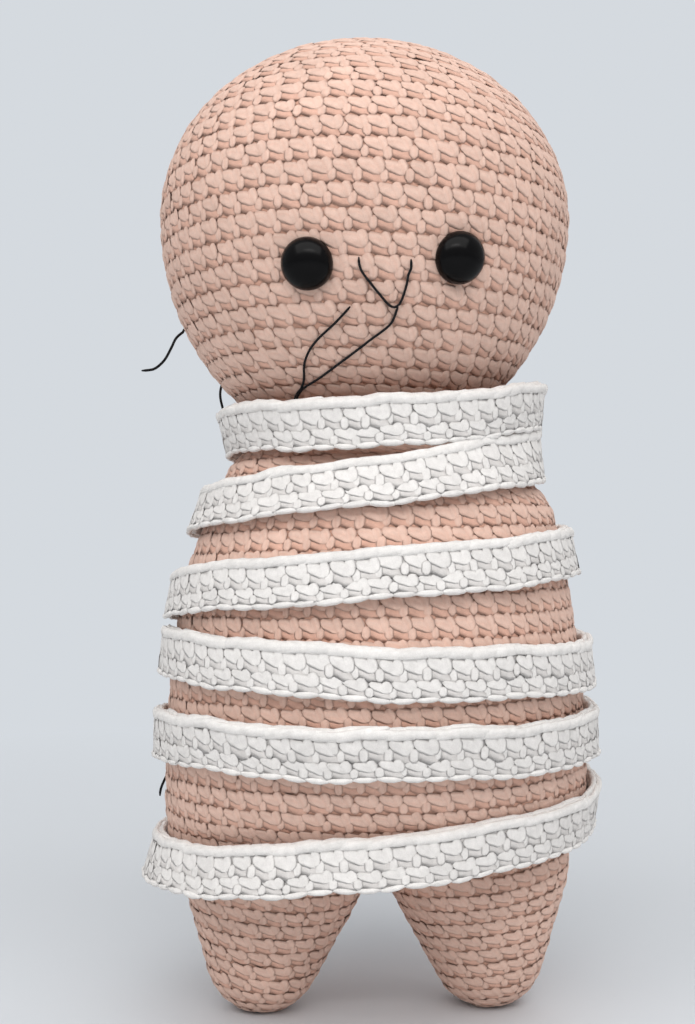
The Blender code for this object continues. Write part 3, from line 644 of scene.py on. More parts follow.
def smooth_values(wanted, at, values):
    """Cubic Hermite interpolation through unevenly spaced values, with slopes from their neighbours."""
    slope = np.gradient(values, at)
    i = np.clip(np.searchsorted(at, wanted, side="right") - 1, 0, len(at) - 2)
    span = at[i + 1] - at[i]
    t = (wanted - at[i]) / span
    rise = values[i] * (1 + 2 * t) * (1 - t) ** 2 + slope[i] * span * t * (1 - t) ** 2
    return rise + values[i + 1] * t ** 2 * (3 - 2 * t) + slope[i + 1] * span * t ** 2 * (t - 1)


closed_rows = np.concatenate([[[0.0, 0.0, 0.0, 0.0]], body_rows])
row_travel = np.concatenate([[0], np.cumsum(np.hypot(np.diff(closed_rows[:, 0]),
                                                     np.diff(closed_rows[:, 1:3].mean(axis=1))))])
body_travel = np.linspace(0, row_travel[-1], 500)
body_table = np.stack([smooth_values(body_travel, row_travel, closed_rows[:, k]) for k in range(4)], axis=-1)
body_table[:, 1:3] = np.maximum(body_table[:, 1:3], 0)


def body_surface(u, v):
    """An ellipse (s + W cos a, D sin a) at each height, whose sizes are read at the share v of the outline."""
    angle = np.pi / 2 + 2 * np.pi * np.asarray(u)
    travel = np.clip(v, 0, 1) * row_travel[-1]
    height, width, depth, shift = (np.interp(travel, body_travel, body_table[:, k]) for k in range(4))
    return np.stack(np.broadcast_arrays(shift + width * np.cos(angle), depth * np.sin(angle), height), axis=-1)


# %% The body's fabric
HIP_RADIUS = 0.0169
HIP_COVER = 0.0008
BODY_ROUND_HEIGHTS = (0.0033, 0.0039)
BODY_PITCHES = (0.0035, 0.0040)

body_edges, body_pitches = [0.0], []
while body_edges[-1] < row_travel[-1]:
    share = np.clip(np.interp(body_edges[-1], body_travel, body_table[:, 0]) / BODY_HEIGHT, 0, 1)
    body_edges.append(body_edges[-1] + np.interp(share, [0, 1], BODY_ROUND_HEIGHTS))
    body_pitches.append(np.interp(share, [0, 1], BODY_PITCHES))
body_edges = np.array(body_edges) / body_edges[-1]
body_cells = rounds(body_surface, body_edges, body_pitches, [66, 62, 57])
cell_points = body_surface(body_cells[:, 0], body_cells[:, 1])
for hip in hips.values():
    keep = np.linalg.norm(cell_points - hip, axis=-1) > HIP_RADIUS + HIP_COVER
    body_cells, cell_points = body_cells[keep], cell_points[keep]
body_mesh = fabric_mesh("body_fabric", skin_grid(body_surface, 64, 96, SKIN_DEPTH, 0.01, 1.0),
                        lay_stitches(body_surface, body_cells, stitch, RELIEF, least_painted_shade=stitch_painted_shade))
body_fabric = add_piece(body_mesh, [peach_yarn, peach_gap_shade], "torso", ["body_shell"])
print("body stitches:", len(body_cells), "faces:", len(body_mesh.polygons), "rounds:", len(body_pitches))

# %% [markdown]
# ## The legs
# Each leg is a short cone with a round tip, worked from the tip up, and its wide end is sewn into
# the hip. Its outline is the skin over two balls: a small one at the tip and a large one at the
# hip. The leg turns about the hip ball, so its fabric runs on a little way inside the body.

# %% The legs' surface and fabric
LEG_REACH = 0.0172
LEG_TIP_RADIUS = 0.0104
LEG_SPLAY = np.radians(6.5)
LEG_TOP_ANGLE = np.radians(118)
LEG_ROUNDS = 15
LEG_PITCH = 0.0037
LEG_RELIEF = 0.30
FOOT_LEVEL = -0.02585

meet = np.pi / 2 - np.arcsin((HIP_RADIUS - LEG_TIP_RADIUS) / LEG_REACH)
tip_arc, hip_arc = np.linspace(0, meet, 60), np.linspace(meet, LEG_TOP_ANGLE, 60)
leg_outline = np.concatenate([
    np.stack([LEG_TIP_RADIUS * np.sin(tip_arc), -LEG_REACH - LEG_TIP_RADIUS * np.cos(tip_arc)], axis=-1),
    np.stack([HIP_RADIUS * np.sin(hip_arc), -HIP_RADIUS * np.cos(hip_arc)], axis=-1)])
leg_share, _ = even_steps(leg_outline)


def leg_surface(side):
    """The outline over both balls, turned about the leg's axis, which leans out from the hip."""
    sign = 1 if side == "left" else -1
    lean = -sign * LEG_SPLAY

    def surface(u, v):
        angle = np.pi / 2 + 2 * np.pi * np.asarray(u)
        inside = np.clip(v, 0, 1)
        radius = np.interp(inside, leg_share, leg_outline[:, 0])
        up = np.interp(inside, leg_share, leg_outline[:, 1])
        x, y, z = np.broadcast_arrays(radius * np.cos(angle), radius * np.sin(angle), up)
        place = np.stack([x * np.cos(lean) + z * np.sin(lean), y, -x * np.sin(lean) + z * np.cos(lean)], axis=-1)
        return hips[side] + place

    return surface


leg_edges = np.linspace(0, 1, LEG_ROUNDS + 1)
for side in hips:
    surface = leg_surface(side)
    leg_cells = rounds(surface, leg_edges, np.full(LEG_ROUNDS, LEG_PITCH), [28])
    leg_mesh = fabric_mesh(side + "_leg_fabric", skin_grid(surface, 30, 48, SKIN_DEPTH, 0.005, 1.0),
                           lay_stitches(surface, leg_cells, stitch, LEG_RELIEF, least_painted_shade=stitch_painted_shade))
    co = np.empty(len(leg_mesh.vertices) * 3, dtype=np.float32)
    leg_mesh.vertices.foreach_get("co", co)
    co[2::3] = np.maximum(co[2::3], FOOT_LEVEL)
    leg_mesh.vertices.foreach_set("co", co)
    leg = add_piece(leg_mesh, [peach_yarn, peach_gap_shade], side + "_leg", [side + "_leg_shell"])
    print(leg.name, "stitches:", len(leg_cells), "faces:", len(leg_mesh.polygons))

# %% [markdown]
# ## The wound strip
# The strip is one long crocheted band, about eight millimetres wide, wound six times round the
# body from the hips to the neck. Its face shows two rows of stitches. Its upper edge carries the
# last row's chain, whose loops lie over the edge like a braid, and its lower edge shows the
# loops of the first chain. The winding is a table of heights against turns, and the strip leans
# with whatever lies under it.

# %% Where the strip runs
STRIP_WIDTH = 0.0084
STRIP_LIFT = 0.0007
STRIP_LEAN_LIMIT = np.radians(20)
STRIP_STRETCH = ([4.20, 4.34, 4.52, 4.66], [0.0, 0.13, 0.13, 0.0])
HEAD_NOD = np.radians(5)
STRIP_PATH = np.array([
    (-0.30, 0.100, 0.900, 0.900), (-0.15, 0.068, 0.960, 0.940), (0.00, 0.035, 1.068, 1.000),
    (0.25, 0.104, 0.894, 0.880), (0.50, 0.176, 0.980, 1.018), (0.75, 0.265, 0.940, 0.950),
    (1.00, 0.356, 0.900, 0.900), (1.25, 0.365, 0.900, 0.900), (1.50, 0.369, 0.900, 0.900),
    (1.75, 0.471, 0.900, 0.900), (2.00, 0.568, 0.900, 0.900), (2.25, 0.547, 0.900, 0.900),
    (2.50, 0.549, 0.900, 0.900), (2.75, 0.632, 0.900, 0.900), (3.00, 0.712, 0.850, 0.850),
    (3.25, 0.778, 0.850, 0.850), (3.50, 0.841, 0.850, 0.850), (3.75, 0.887, 0.800, 0.800),
    (4.00, 0.932, 0.760, 0.700), (4.25, 0.996, 0.740, 0.730), (4.50, 1.091, 0.755, 0.747),
    (4.75, 1.112, 0.790, 0.790), (5.00, 1.153, 0.666, 0.718), (5.25, 1.147, 0.767, 0.778),
    (5.50, 1.233, 0.747, 0.775), (5.72, 1.256, 0.800, 0.830)])


def body_reach(angle, height):
    """Distance of the body's skin from the Z axis at an angle and a height."""
    width, depth, shift = (np.interp(height, body_rows[:, 0], body_rows[:, k]) for k in (1, 2, 3))
    return shift * np.cos(angle) + 1 / np.sqrt((np.cos(angle) / width) ** 2 + (np.sin(angle) / depth) ** 2)


def head_reach(angle, height):
    """Distance of the head's skin from the Z axis, nodded as far as it goes, zero under its lip."""
    up = np.asarray(height) - BODY_HEIGHT
    nod = np.tan(HEAD_NOD) * np.abs(np.sin(angle))
    radius = head_radius(up + head_radius(up) * nod) + up * nod
    shift = NECK_SHIFT + up * head_axis[0] / head_axis[2]
    return np.where(up > 0.0117, radius + shift * np.cos(angle), 0)


def strip_table(per_turn=96):
    """Rows of (turn, height, lower reach, upper reach) of the strip's inner face along its winding."""
    first, last = STRIP_PATH[0, 0], STRIP_PATH[-1, 0]
    turn = np.linspace(first, last, round((last - first) * per_turn) + 1)
    middle = smooth_values(turn, STRIP_PATH[:, 0], STRIP_PATH[:, 1]) * BODY_HEIGHT
    angle = np.pi + 2 * np.pi * turn
    girth = 1 / np.sqrt((np.cos(angle) / BODY_HALF_WIDTH) ** 2 + (np.sin(angle) / BODY_HALF_DEPTH) ** 2)
    low = girth * smooth_values(turn, STRIP_PATH[:, 0], STRIP_PATH[:, 2])
    top = girth * smooth_values(turn, STRIP_PATH[:, 0], STRIP_PATH[:, 3])
    heights = middle[:, None] + np.linspace(-0.5, 0.5, 11) * STRIP_WIDTH
    under = np.maximum(body_reach(angle[:, None], heights), head_reach(angle[:, None], heights)) + STRIP_LIFT
    low, top = np.maximum(low, under[:, 0]), np.maximum(top, under[:, -1])
    drop = STRIP_WIDTH * np.tan(STRIP_LEAN_LIMIT)
    low, top = np.maximum(low, top - drop), np.maximum(top, low - drop)
    face = low[:, None] + (top - low)[:, None] * np.linspace(0, 1, 11)
    lift = np.max(under - face, axis=1).clip(0, None)
    blur = np.hanning(13)[1:-1] / np.hanning(13)[1:-1].sum()
    low, top = (np.convolve(np.pad(k + lift, 5, mode="edge"), blur, mode="valid") for k in (low, top))
    return np.stack([turn, middle, low, top], axis=-1)


strip_rows = strip_table()


def strip_surface(turn, up, out=0.0019):
    """Point on the strip: reach = mean + up sin l + out cos l, height = middle + up cos l - out sin l.

    Whatever would reach past an end of the strip is cut off there.
    """
    turn, up = np.broadcast_arrays(np.clip(turn, strip_rows[0, 0], strip_rows[-1, 0]), up)
    middle, low, top = (np.interp(turn, strip_rows[:, 0], strip_rows[:, k]) for k in (1, 2, 3))
    lean = np.arctan2(top - low, STRIP_WIDTH)
    angle = np.pi + 2 * np.pi * turn
    stretch = np.interp(turn, *STRIP_STRETCH)
    up = up * (1 + stretch) + 0.00018 * np.sin(turn * 41.0) + 0.00012 * np.sin(turn * 97.0 + 1.0)
    reach = (low + top) / 2 + up * np.sin(lean) + out * np.cos(lean)
    height = middle + up * np.cos(lean) - out * np.sin(lean) + stretch * STRIP_WIDTH / 2
    return np.stack([reach * np.cos(angle), reach * np.sin(angle), height], axis=-1)


strip_travel = np.concatenate([[0], np.cumsum(np.linalg.norm(np.diff(
    strip_surface(strip_rows[:, 0], 0.0), axis=0), axis=1))])
print("strip length:", strip_travel[-1])

# %% The strip's stitches and edges
STRIP_PITCH = 0.0039


def strip_cells(up, height, shift=0.0, first=0):
    """Cells (turn, up, width in turns, height) one pitch apart, shared out over the strip's whole length."""
    whole = round(strip_travel[-1] / STRIP_PITCH)
    at = (np.arange(whole - first) + 0.5 + shift + first) * strip_travel[-1] / whole
    turn = np.interp(at, strip_travel, strip_rows[:, 0])
    wide = np.interp(at, strip_travel, np.gradient(strip_rows[:, 0], strip_travel)) * STRIP_PITCH
    return np.stack([turn, np.full(len(at), up), wide, np.full(len(at), height)], axis=-1)


def strip_core():
    """A flat closed tube inside the strip, with a slightly soft outline."""
    outline = np.array([(-0.0036, 0.0006), (-0.0033, 0.0002), (0.0031, 0.0002), (0.0035, 0.0006),
                        (0.0034, 0.0014), (0.0030, 0.0017), (-0.0032, 0.0017), (-0.0036, 0.0013)])
    turn = strip_rows[::2, 0]
    rings = np.stack([strip_surface(turn, up, out) for up, out in outline], axis=1)
    rows, sides = rings.shape[:2]
    points = rings.reshape(-1, 3)
    ends = [rings[0].mean(axis=0), rings[-1].mean(axis=0)]
    return np.concatenate([points, ends]), *capped_grid(rows, sides), np.zeros((len(points) + 2, 2))


c = CELL
rim_front = lobe([(-1.55 * c, -0.00030, -0.00110), (-0.50 * c, -0.00008, -0.00024),
                  (0.50 * c, 0.00008, -0.00024), (1.55 * c, 0.00030, -0.00110)], 0.00090, 0.00052, 8, 7)
rim_back = lobe([(-1.20 * c, 0.00010, -0.00135), (-0.40 * c, 0.00035, -0.00115),
                 (0.40 * c, 0.00025, -0.00115), (1.20 * c, -0.00010, -0.00135)], 0.00090, 0.00060, 5, 6)
hem = lobe([(-0.60 * c, 0.00020, -0.00060), (-0.22 * c, 0.00000, -0.00030), (0.22 * c, -0.00002, -0.00030),
            (0.60 * c, 0.00018, -0.00060)], 0.00055, 0.00055, 6, 7)
core = strip_core()
STRIP_RELIEF = 0.12
# The whole strip face takes some painted shade, so it stays darker than the rim, which faces the light.
face_painted_shade = 0.12 + 0.88 * stitch_painted_shade
low_row = lay_stitches(strip_surface, strip_cells(-0.0021, 0.0028), stitch, STRIP_RELIEF, least_painted_shade=face_painted_shade)
top_row = lay_stitches(strip_surface, strip_cells(0.0008, 0.0038, 0.45, -1), stitch, STRIP_RELIEF, least_painted_shade=face_painted_shade)
rim = lay_stitches(strip_surface, strip_cells(0.0034, CELL, 0.45), joined([rim_front, rim_back]), 1.0, 0.02)
edge = lay_stitches(strip_surface, strip_cells(-0.0037, CELL), hem, 1.0, 0.008)
END_INSET = 0.0010
end_turns = np.interp([END_INSET, strip_travel[-1] - END_INSET], strip_travel, strip_rows[:, 0])
end_cells = np.array([[turn, 0.0, STRIP_PITCH / strip_travel[-1] * np.ptp(strip_rows[:, 0]), 0.0074]
                      for turn in end_turns])
ends = lay_stitches(strip_surface, end_cells, lobe([
    (0, -0.50 * c, -0.0010), (0, -0.20 * c, -0.0009), (0, 0.20 * c, -0.0009), (0, 0.50 * c, -0.0010)],
    0.0010, 0.0009, 7, 8), 1.0, 0.0)


def several_rows(*rows):
    """Several laid-out groups of stitches as one, keeping their marks."""
    points, quads, tris, uv = joined([row[:4] for row in rows])
    marks = {label: np.concatenate([row[4][label] for row in rows]) for label in rows[0][4]}
    return points, quads, tris, uv, marks


# The strip's core takes the painted shade of the white sheet, so the gaps between its stitches show dark.
strip_face = fabric_mesh("strip_face", core, several_rows(low_row, top_row))
add_piece(strip_face, [white_yarn, white_gap_shade], "torso", ["wrap_strip"])
edges = several_rows(rim, edge, ends)
del edges[4]["fabric_normal"], edges[4]["depth"]
strip_edge = mesh_from_arrays("strip_edges", *edges)
add_piece(strip_edge, [white_yarn], "torso", ())
print("strip faces:", len(strip_face.polygons), len(strip_edge.polygons))

# %% [markdown]
# ## Eyes
# The eyes are black plastic domes on ribbed shanks, pushed through the fabric and locked by
# washers from inside. Their polish is the whole effect: one smooth black surface that mirrors
# the soft light above as a pale streak.

# %% Turned pieces and the eyes
EYE_DOME_HEIGHT = 0.0037
EYE_RIM_HEIGHT = 0.0005
EYE_SINK = 0.0006
EYE_SHANK_RADIUS = 0.0015
EYE_SHANK_LENGTH = 0.0095


def turned(profile, sides, place, axis):
    """A profile of (radius, height) pairs turned about an axis through a point; its ends lie on the axis."""
    profile = np.asarray(profile, dtype=float)
    axis = np.asarray(axis) / np.linalg.norm(axis)
    right = np.cross([0, 0, 1.0], axis)
    right = right / np.linalg.norm(right) if np.linalg.norm(right) > 1e-6 else np.array([1.0, 0, 0])
    forward = np.cross(axis, right)
    f = np.arange(sides) * 2 * np.pi / sides
    radius, height = profile[1:-1, 0, None, None], profile[1:-1, 1, None, None]
    spoke = np.cos(f)[None, :, None] * right + np.sin(f)[None, :, None] * forward
    points = (place + radius * spoke + height * axis).reshape(-1, 3)
    rows = len(profile) - 2
    ends = [place + profile[0, 1] * axis, place + profile[-1, 1] * axis]
    return np.concatenate([points, ends]), *capped_grid(rows, sides)


def gloss_material(name, colour, roughness):
    """A Principled plastic whose polish varies a little with a soft noise."""
    finish = bpy.data.materials.new(name)
    finish.use_nodes = True
    tree = finish.node_tree
    shader = tree.nodes["Principled BSDF"]
    place = tree.nodes.new("ShaderNodeTexCoord")
    noise = tree.nodes.new("ShaderNodeTexNoise")
    noise.inputs["Scale"].default_value = 700.0
    tree.links.new(place.outputs["Object"], noise.inputs["Vector"])
    spread = tree.nodes.new("ShaderNodeMapRange")
    spread.inputs["To Min"].default_value = roughness * 0.8
    spread.inputs["To Max"].default_value = roughness * 1.25
    tree.links.new(noise.outputs["Fac"], spread.inputs["Value"])
    tree.links.new(spread.outputs["Result"], shader.inputs["Roughness"])
    shader.inputs["Base Color"].default_value = (*colour, 1)
    return finish


eye_plastic = gloss_material("eye_plastic", (0.002, 0.002, 0.0025), 0.20)
eye_plastic.node_tree.nodes["Principled BSDF"].inputs["Specular IOR Level"].default_value = 0.12
for side in EYES:
    place, normal = eye_centre(side)
    world_place = head_to_world(place)
    world_normal = head_to_world(normal) - neck
    swing = np.linspace(0, np.pi / 2, 15)[:-1]
    dome_profile = [(EYE_RADIUS * np.cos(a),
                     EYE_RIM_HEIGHT - EYE_SINK + (EYE_DOME_HEIGHT - EYE_RIM_HEIGHT) * np.sin(a)) for a in swing]
    profile = [(0, -EYE_SHANK_LENGTH), (EYE_SHANK_RADIUS * 0.8, -EYE_SHANK_LENGTH),
               (EYE_SHANK_RADIUS, -EYE_SHANK_LENGTH * 0.95), (EYE_SHANK_RADIUS, -EYE_SINK - 0.0002),
               (EYE_RADIUS * 0.95, -EYE_SINK - 0.0001), (EYE_RADIUS, -EYE_SINK + 0.0001)]
    profile += dome_profile + [(0, EYE_DOME_HEIGHT - EYE_SINK)]
    points, quads, tris = turned(profile, 40, world_place, world_normal)
    eye_mesh = mesh_from_arrays(side + "_eye_dome", points, quads, tris)
    add_piece(eye_mesh, [eye_plastic], "head", [side + "_eye"])
print("eyes done")

# %% [markdown]
# ## Black thread
# The nose is one stitch of black sewing thread, laid as a V between the eyes. Its strands run on
# down the face to the neck, and the two loose ends hang out behind the head, waiting to be
# fastened off. Thread is a thin twisted cord, so each piece is a tube along its own route.

# %% Tubes along a route
THREAD_RADIUS = 0.00025
THREAD_GAP = 0.0003


def smooth_route(points, spacing):
    """Points about one spacing apart on a Catmull-Rom curve through the route's own points."""
    route = np.asarray(points, dtype=float)
    padded = np.vstack([2 * route[0] - route[1], route, 2 * route[-1] - route[-2]])
    a, b, c, d = (padded[k:len(padded) - 3 + k, None] for k in range(4))
    t = np.linspace(0, 1, 12, endpoint=False)[None, :, None]
    bend = (2 * a - 5 * b + 4 * c - d) * t ** 2 + (3 * b - a - 3 * c + d) * t ** 3
    fine = np.concatenate([((2 * b + (c - a) * t + bend) / 2).reshape(-1, 3), route[-1:]])
    travel = np.concatenate([[0], np.cumsum(np.linalg.norm(np.diff(fine, axis=0), axis=1))])
    wanted = np.linspace(0, travel[-1], max(2, round(travel[-1] / spacing)) + 1)
    return np.stack([np.interp(wanted, travel, fine[:, k]) for k in range(3)], axis=-1)


def tube(path, radius, sides=8):
    """Rings of a tube along a path, in frames carried on from ring to ring, with rounded ends."""
    path = np.asarray(path, dtype=float)
    along = np.gradient(path, axis=0)
    along /= np.linalg.norm(along, axis=1)[:, None]
    across = [np.cross(along[0], [0.3, 0.2, 1.0])]
    for step in along[1:]:
        across.append(across[-1] - step * (across[-1] @ step))
    across = np.array(across)
    across /= np.linalg.norm(across, axis=1)[:, None]
    beside = np.cross(along, across)
    travel = np.concatenate([[0], np.cumsum(np.linalg.norm(np.diff(path, axis=0), axis=1))]) * 1000
    size = np.full(len(path), radius)
    size[[0, -1]] = radius * 0.6
    f = np.arange(sides) * 2 * np.pi / sides
    ring = np.cos(f)[None, :, None] * across[:, None] + np.sin(f)[None, :, None] * beside[:, None]
    points = (path[:, None] + size[:, None, None] * ring).reshape(-1, 3)
    uv = np.stack(np.meshgrid(travel, f / (2 * np.pi), indexing="ij"), axis=-1).reshape(-1, 2)
    ends = [path[0] - along[0] * radius * 0.4, path[-1] + along[-1] * radius * 0.4]
    uv = np.concatenate([uv, [[0, 0], [travel[-1], 0]]])
    return np.concatenate([points, ends]), *capped_grid(len(path), sides), uv


THREAD_BLACK = (0.012, 0.012, 0.014)
# Painted shade for the dips between the thread's plies.
THREAD_PLY_SHADE = (0.004, 0.004, 0.005)
black_thread = yarn_material("black_thread", THREAD_BLACK, THREAD_PLY_SHADE, THREAD_PLY_SHADE, 2, 1.1, 0.8, 0.5, 0.0)

# %% The nose threads on the face
FACE_ROUTES = {
    "nose_stitch": [
        (-0.0034, 0.0354), (-0.0033, 0.0345), (-0.0028, 0.0333), (-0.0012, 0.0315), (0.0004, 0.0299),
        (0.0018, 0.0286), (0.0028, 0.0282), (0.0036, 0.0287), (0.0041, 0.0298), (0.0046, 0.0319),
        (0.0047, 0.0331), (0.0051, 0.0342), (0.0050, 0.0355)],
    "nose_anchor_thread": [
        (0.0034, 0.0283), (0.0031, 0.0272), (0.0026, 0.0259), (0.0015, 0.0248), (-0.0005, 0.0233),
        (-0.0028, 0.0215), (-0.0051, 0.0198), (-0.0077, 0.0179), (-0.0093, 0.0169), (-0.0104, 0.0163),
        (-0.0111, 0.0158), (-0.0117, 0.0150), (-0.0121, 0.0134)],
    "mouth_thread": [
        (-0.0043, 0.0280), (-0.0050, 0.0272), (-0.0067, 0.0254), (-0.0088, 0.0235), (-0.0101, 0.0220),
        (-0.0108, 0.0206), (-0.0111, 0.0192), (-0.0110, 0.0179), (-0.0110, 0.0169), (-0.0113, 0.0160),
        (-0.0120, 0.0151), (-0.0125, 0.0136)]}

for name, route in FACE_ROUTES.items():
    across, up = np.array(route).T
    radius = head_radius(up, THREAD_RADIUS + THREAD_GAP)
    points = np.stack([across, -np.sqrt(radius ** 2 - across ** 2), up], axis=-1)
    path = head_to_world(smooth_route(points, 0.0005))
    points, quads, tris, uv = tube(path, THREAD_RADIUS * 0.85)
    mesh = mesh_from_arrays(name + "_strand", points, quads, tris, uv)
    add_piece(mesh, [black_thread], "head", [name])
print("face threads done")

# %% The loose thread ends, as cords
TAIL_ROUTES = {
    "short_thread_tail": [
        (-0.0200, 0.0245, 0.0290), (-0.0228, 0.0232, 0.0305), (-0.0258, 0.0205, 0.0312),
        (-0.0285, 0.0168, 0.0312), (-0.0306, 0.0126, 0.0308), (-0.0321, 0.0088, 0.0300),
        (-0.0332, 0.0062, 0.0289), (-0.0343, 0.0048, 0.0275), (-0.0350, 0.0038, 0.0256),
        (-0.0361, 0.0028, 0.0231), (-0.0376, 0.0021, 0.0214), (-0.0388, 0.0016, 0.0209),
        (-0.0401, 0.0013, 0.0207)],
    "long_thread_tail": [
        (-0.0196, 0.0236, 0.0262), (-0.0218, 0.0252, 0.0256), (-0.0240, 0.0256, 0.0244),
        (-0.0254, 0.0240, 0.0226), (-0.0260, 0.0214, 0.0206), (-0.0260, 0.0202, 0.0185),
        (-0.0253, 0.0209, 0.0160), (-0.0240, 0.0238, 0.0125), (-0.0229, 0.0260, 0.0095),
        (-0.0222, 0.0275, 0.0062), (-0.0221, 0.0289, 0.0030), (-0.0228, 0.0300, -0.0010),
        (-0.0241, 0.0305, -0.0066), (-0.0258, 0.0301, -0.0138), (-0.0273, 0.0295, -0.0221),
        (-0.0286, 0.0288, -0.0303), (-0.0297, 0.0280, -0.0384), (-0.0307, 0.0267, -0.0464),
        (-0.0318, 0.0249, -0.0520), (-0.0331, 0.0230, -0.0554), (-0.0341, 0.0219, -0.0574),
        (-0.0348, 0.0213, -0.0593), (-0.0349, 0.0211, -0.0606)]}

for name, route in TAIL_ROUTES.items():
    points = smooth_route(route, 0.0007)
    distance = np.hypot(points[:, 0], points[:, 1])
    wanted = np.maximum(distance, head_radius(points[:, 2], THREAD_RADIUS + 2 * THREAD_GAP))
    points[:, :2] *= (wanted / distance)[:, None]
    path = head_to_world(points)
    points, quads, tris, uv = tube(path, THREAD_RADIUS)
    mesh = mesh_from_arrays(name + "_strand", points, quads, tris, uv)
    tail = add_piece(mesh, [black_thread], "head", [name])

# %% [markdown]
# ## What is inside
# Loose polyester fibre fills the head, body and legs, a firm wad bridges the neck, and lock
# washers hold the eyes. None of it is seen, but a doll without it would be flat. The filling is
# a lumpy skin just inside the fabric. The neck is sewn with a round of whip stitches.

# %% Filling, washers and the neck seam


def plain_material(name, colour, roughness, scale, bump):
    """A Principled finish with a fine noise in its height and a faint one in its colour."""
    finish = bpy.data.materials.new(name)
    finish.use_nodes = True
    tree = finish.node_tree
    shader = tree.nodes["Principled BSDF"]
    place = tree.nodes.new("ShaderNodeTexCoord")
    noise = tree.nodes.new("ShaderNodeTexNoise")
    noise.inputs["Scale"].default_value = scale
    noise.inputs["Detail"].default_value = 4.0
    tree.links.new(place.outputs["Object"], noise.inputs["Vector"])
    darker = tuple(k * 0.85 for k in colour)
    tree.links.new(mix_colour(tree, noise.outputs["Fac"], (*darker, 1), (*colour, 1)), shader.inputs["Base Color"])
    relief = tree.nodes.new("ShaderNodeBump")
    relief.inputs["Strength"].default_value = bump
    relief.inputs["Distance"].default_value = 0.0002
    tree.links.new(noise.outputs["Fac"], relief.inputs["Height"])
    tree.links.new(relief.outputs["Normal"], shader.inputs["Normal"])
    shader.inputs["Roughness"].default_value = roughness
    return finish


fibre_fill = plain_material("fibre_fill", (0.85, 0.85, 0.83), 0.95, 1500.0, 0.8)
washer_plastic = plain_material("washer_plastic", (0.80, 0.80, 0.78), 0.45, 400.0, 0.1)
FILL_DEPTH = 0.0031
LUMP = 0.0003


def filling(name, surface, body, node, low=0.0, high=1.0):
    """The fabric's surface drawn in to the filling's depth, with low soft lumps."""
    points, quads, tris, uv = skin_grid(surface, 24, 36, FILL_DEPTH, low, high)
    wave = np.sin(points @ np.array([310.0, 190.0, 260.0])) * np.sin(points @ np.array([-170.0, 330.0, 120.0]))
    centre = points.mean(axis=0)
    points = points - (points - centre) * (LUMP * (1 + wave) / 0.03)[:, None]
    return add_piece(mesh_from_arrays(name, points, quads, tris, uv), [fibre_fill], body, [node])


filling("head_fill", head_surface, "head", "head_stuffing", 0.05, 0.98)
filling("body_fill", body_surface, "torso", "body_stuffing", 0.12, 0.90)
for side in hips:
    filling(side + "_leg_fill", leg_surface(side), side + "_leg", side + "_leg_stuffing", 0.05, 1.0)
NECK_FILL_RADIUS = 0.0167
ball = [(NECK_FILL_RADIUS * np.sin(a), -NECK_FILL_RADIUS * np.cos(a)) for a in np.linspace(0, np.pi, 17)]
neck_fill = mesh_from_arrays("neck_fill", *turned(ball, 28, neck, head_axis))
add_piece(neck_fill, [fibre_fill], "neck", ["neck_stuffing"])
for side in EYES:
    washer = frame["nodes"][side + "_eye_washer"]
    washer.data.materials.clear()
    washer.data.materials.append(washer_plastic)

seam_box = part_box("neck_seam")
seam_centre = (np.array(seam_box[0]) + np.array(seam_box[1])) / 2
SEAM_STITCHES = 30
SEAM_YARN_RADIUS = 0.0009
seam_radius = (seam_box[1][1] - seam_box[0][1]) / 2 - SEAM_YARN_RADIUS


def seam_surface(u, v):
    """An upright band round the neck seam: v climbs it, u goes round it."""
    angle = np.pi / 2 + 2 * np.pi * np.asarray(u)
    up = (np.asarray(v) - 0.5) * CELL
    place = np.stack(np.broadcast_arrays(seam_radius * np.cos(angle), seam_radius * np.sin(angle), up), axis=-1)
    return (seam_centre + place[..., 0, None] * side_axis + place[..., 1, None] * np.array([0, 1.0, 0])
            + place[..., 2, None] * head_axis)


whip = lobe([(-0.45 * CELL, -0.0006, -0.0003), (-0.15 * CELL, -0.0002, 0.0002), (0.15 * CELL, 0.0002, 0.0002),
             (0.45 * CELL, 0.0006, -0.0003)], 0.0006, 0.0006)
seam_u = (np.arange(SEAM_STITCHES) + 0.5) / SEAM_STITCHES
seam_cells = np.stack([seam_u, np.full(SEAM_STITCHES, 0.5), np.full(SEAM_STITCHES, 1 / SEAM_STITCHES),
                       np.ones(SEAM_STITCHES)], axis=-1)
seam = lay_stitches(seam_surface, seam_cells, whip, 1.0, 0.02)
add_piece(mesh_from_arrays("neck_whip_stitches", *seam), [peach_yarn], "neck", ["neck_seam"])
print("inside done")

# %% [markdown]
# ## Floor and light
# A pale floor sweeps up behind the doll. A broad soft lamp hangs above and in front like a window,
# a narrow one beside it makes the streak in the eyes, and a weaker one behind lifts the far side.
# An even pale surround fills the shadows. It carries much of the light, so that the brightest
# stitches keep their colour.

# %% The floor, the surround and the lamp
FLOOR_LEVEL = -0.02605


def make_floor():
    """A sheet: flat out to 0.6 m behind the doll, then a quarter circle up to a wall."""
    sweep = np.linspace(0, np.pi / 2, 16)
    run = np.concatenate([[-1.5], 0.6 + 0.5 * np.sin(sweep), [1.1]])
    rise = np.concatenate([[0.0], 0.5 - 0.5 * np.cos(sweep), [2.5]]) + FLOOR_LEVEL
    points = np.stack([np.stack([np.full(len(run), x), run, rise], axis=-1) for x in (-2.5, 2.5)], axis=1)
    points = points.reshape(-1, 3)
    row = np.arange(len(run) - 1) * 2
    quads = np.stack([row, row + 1, row + 3, row + 2], axis=-1)
    mesh = mesh_from_arrays("floor", points, quads, np.zeros((0, 3)))
    floor = bpy.data.objects.new("floor", mesh)
    bpy.context.scene.collection.objects.link(floor)
    mesh.materials.append(floor_material())
    return floor


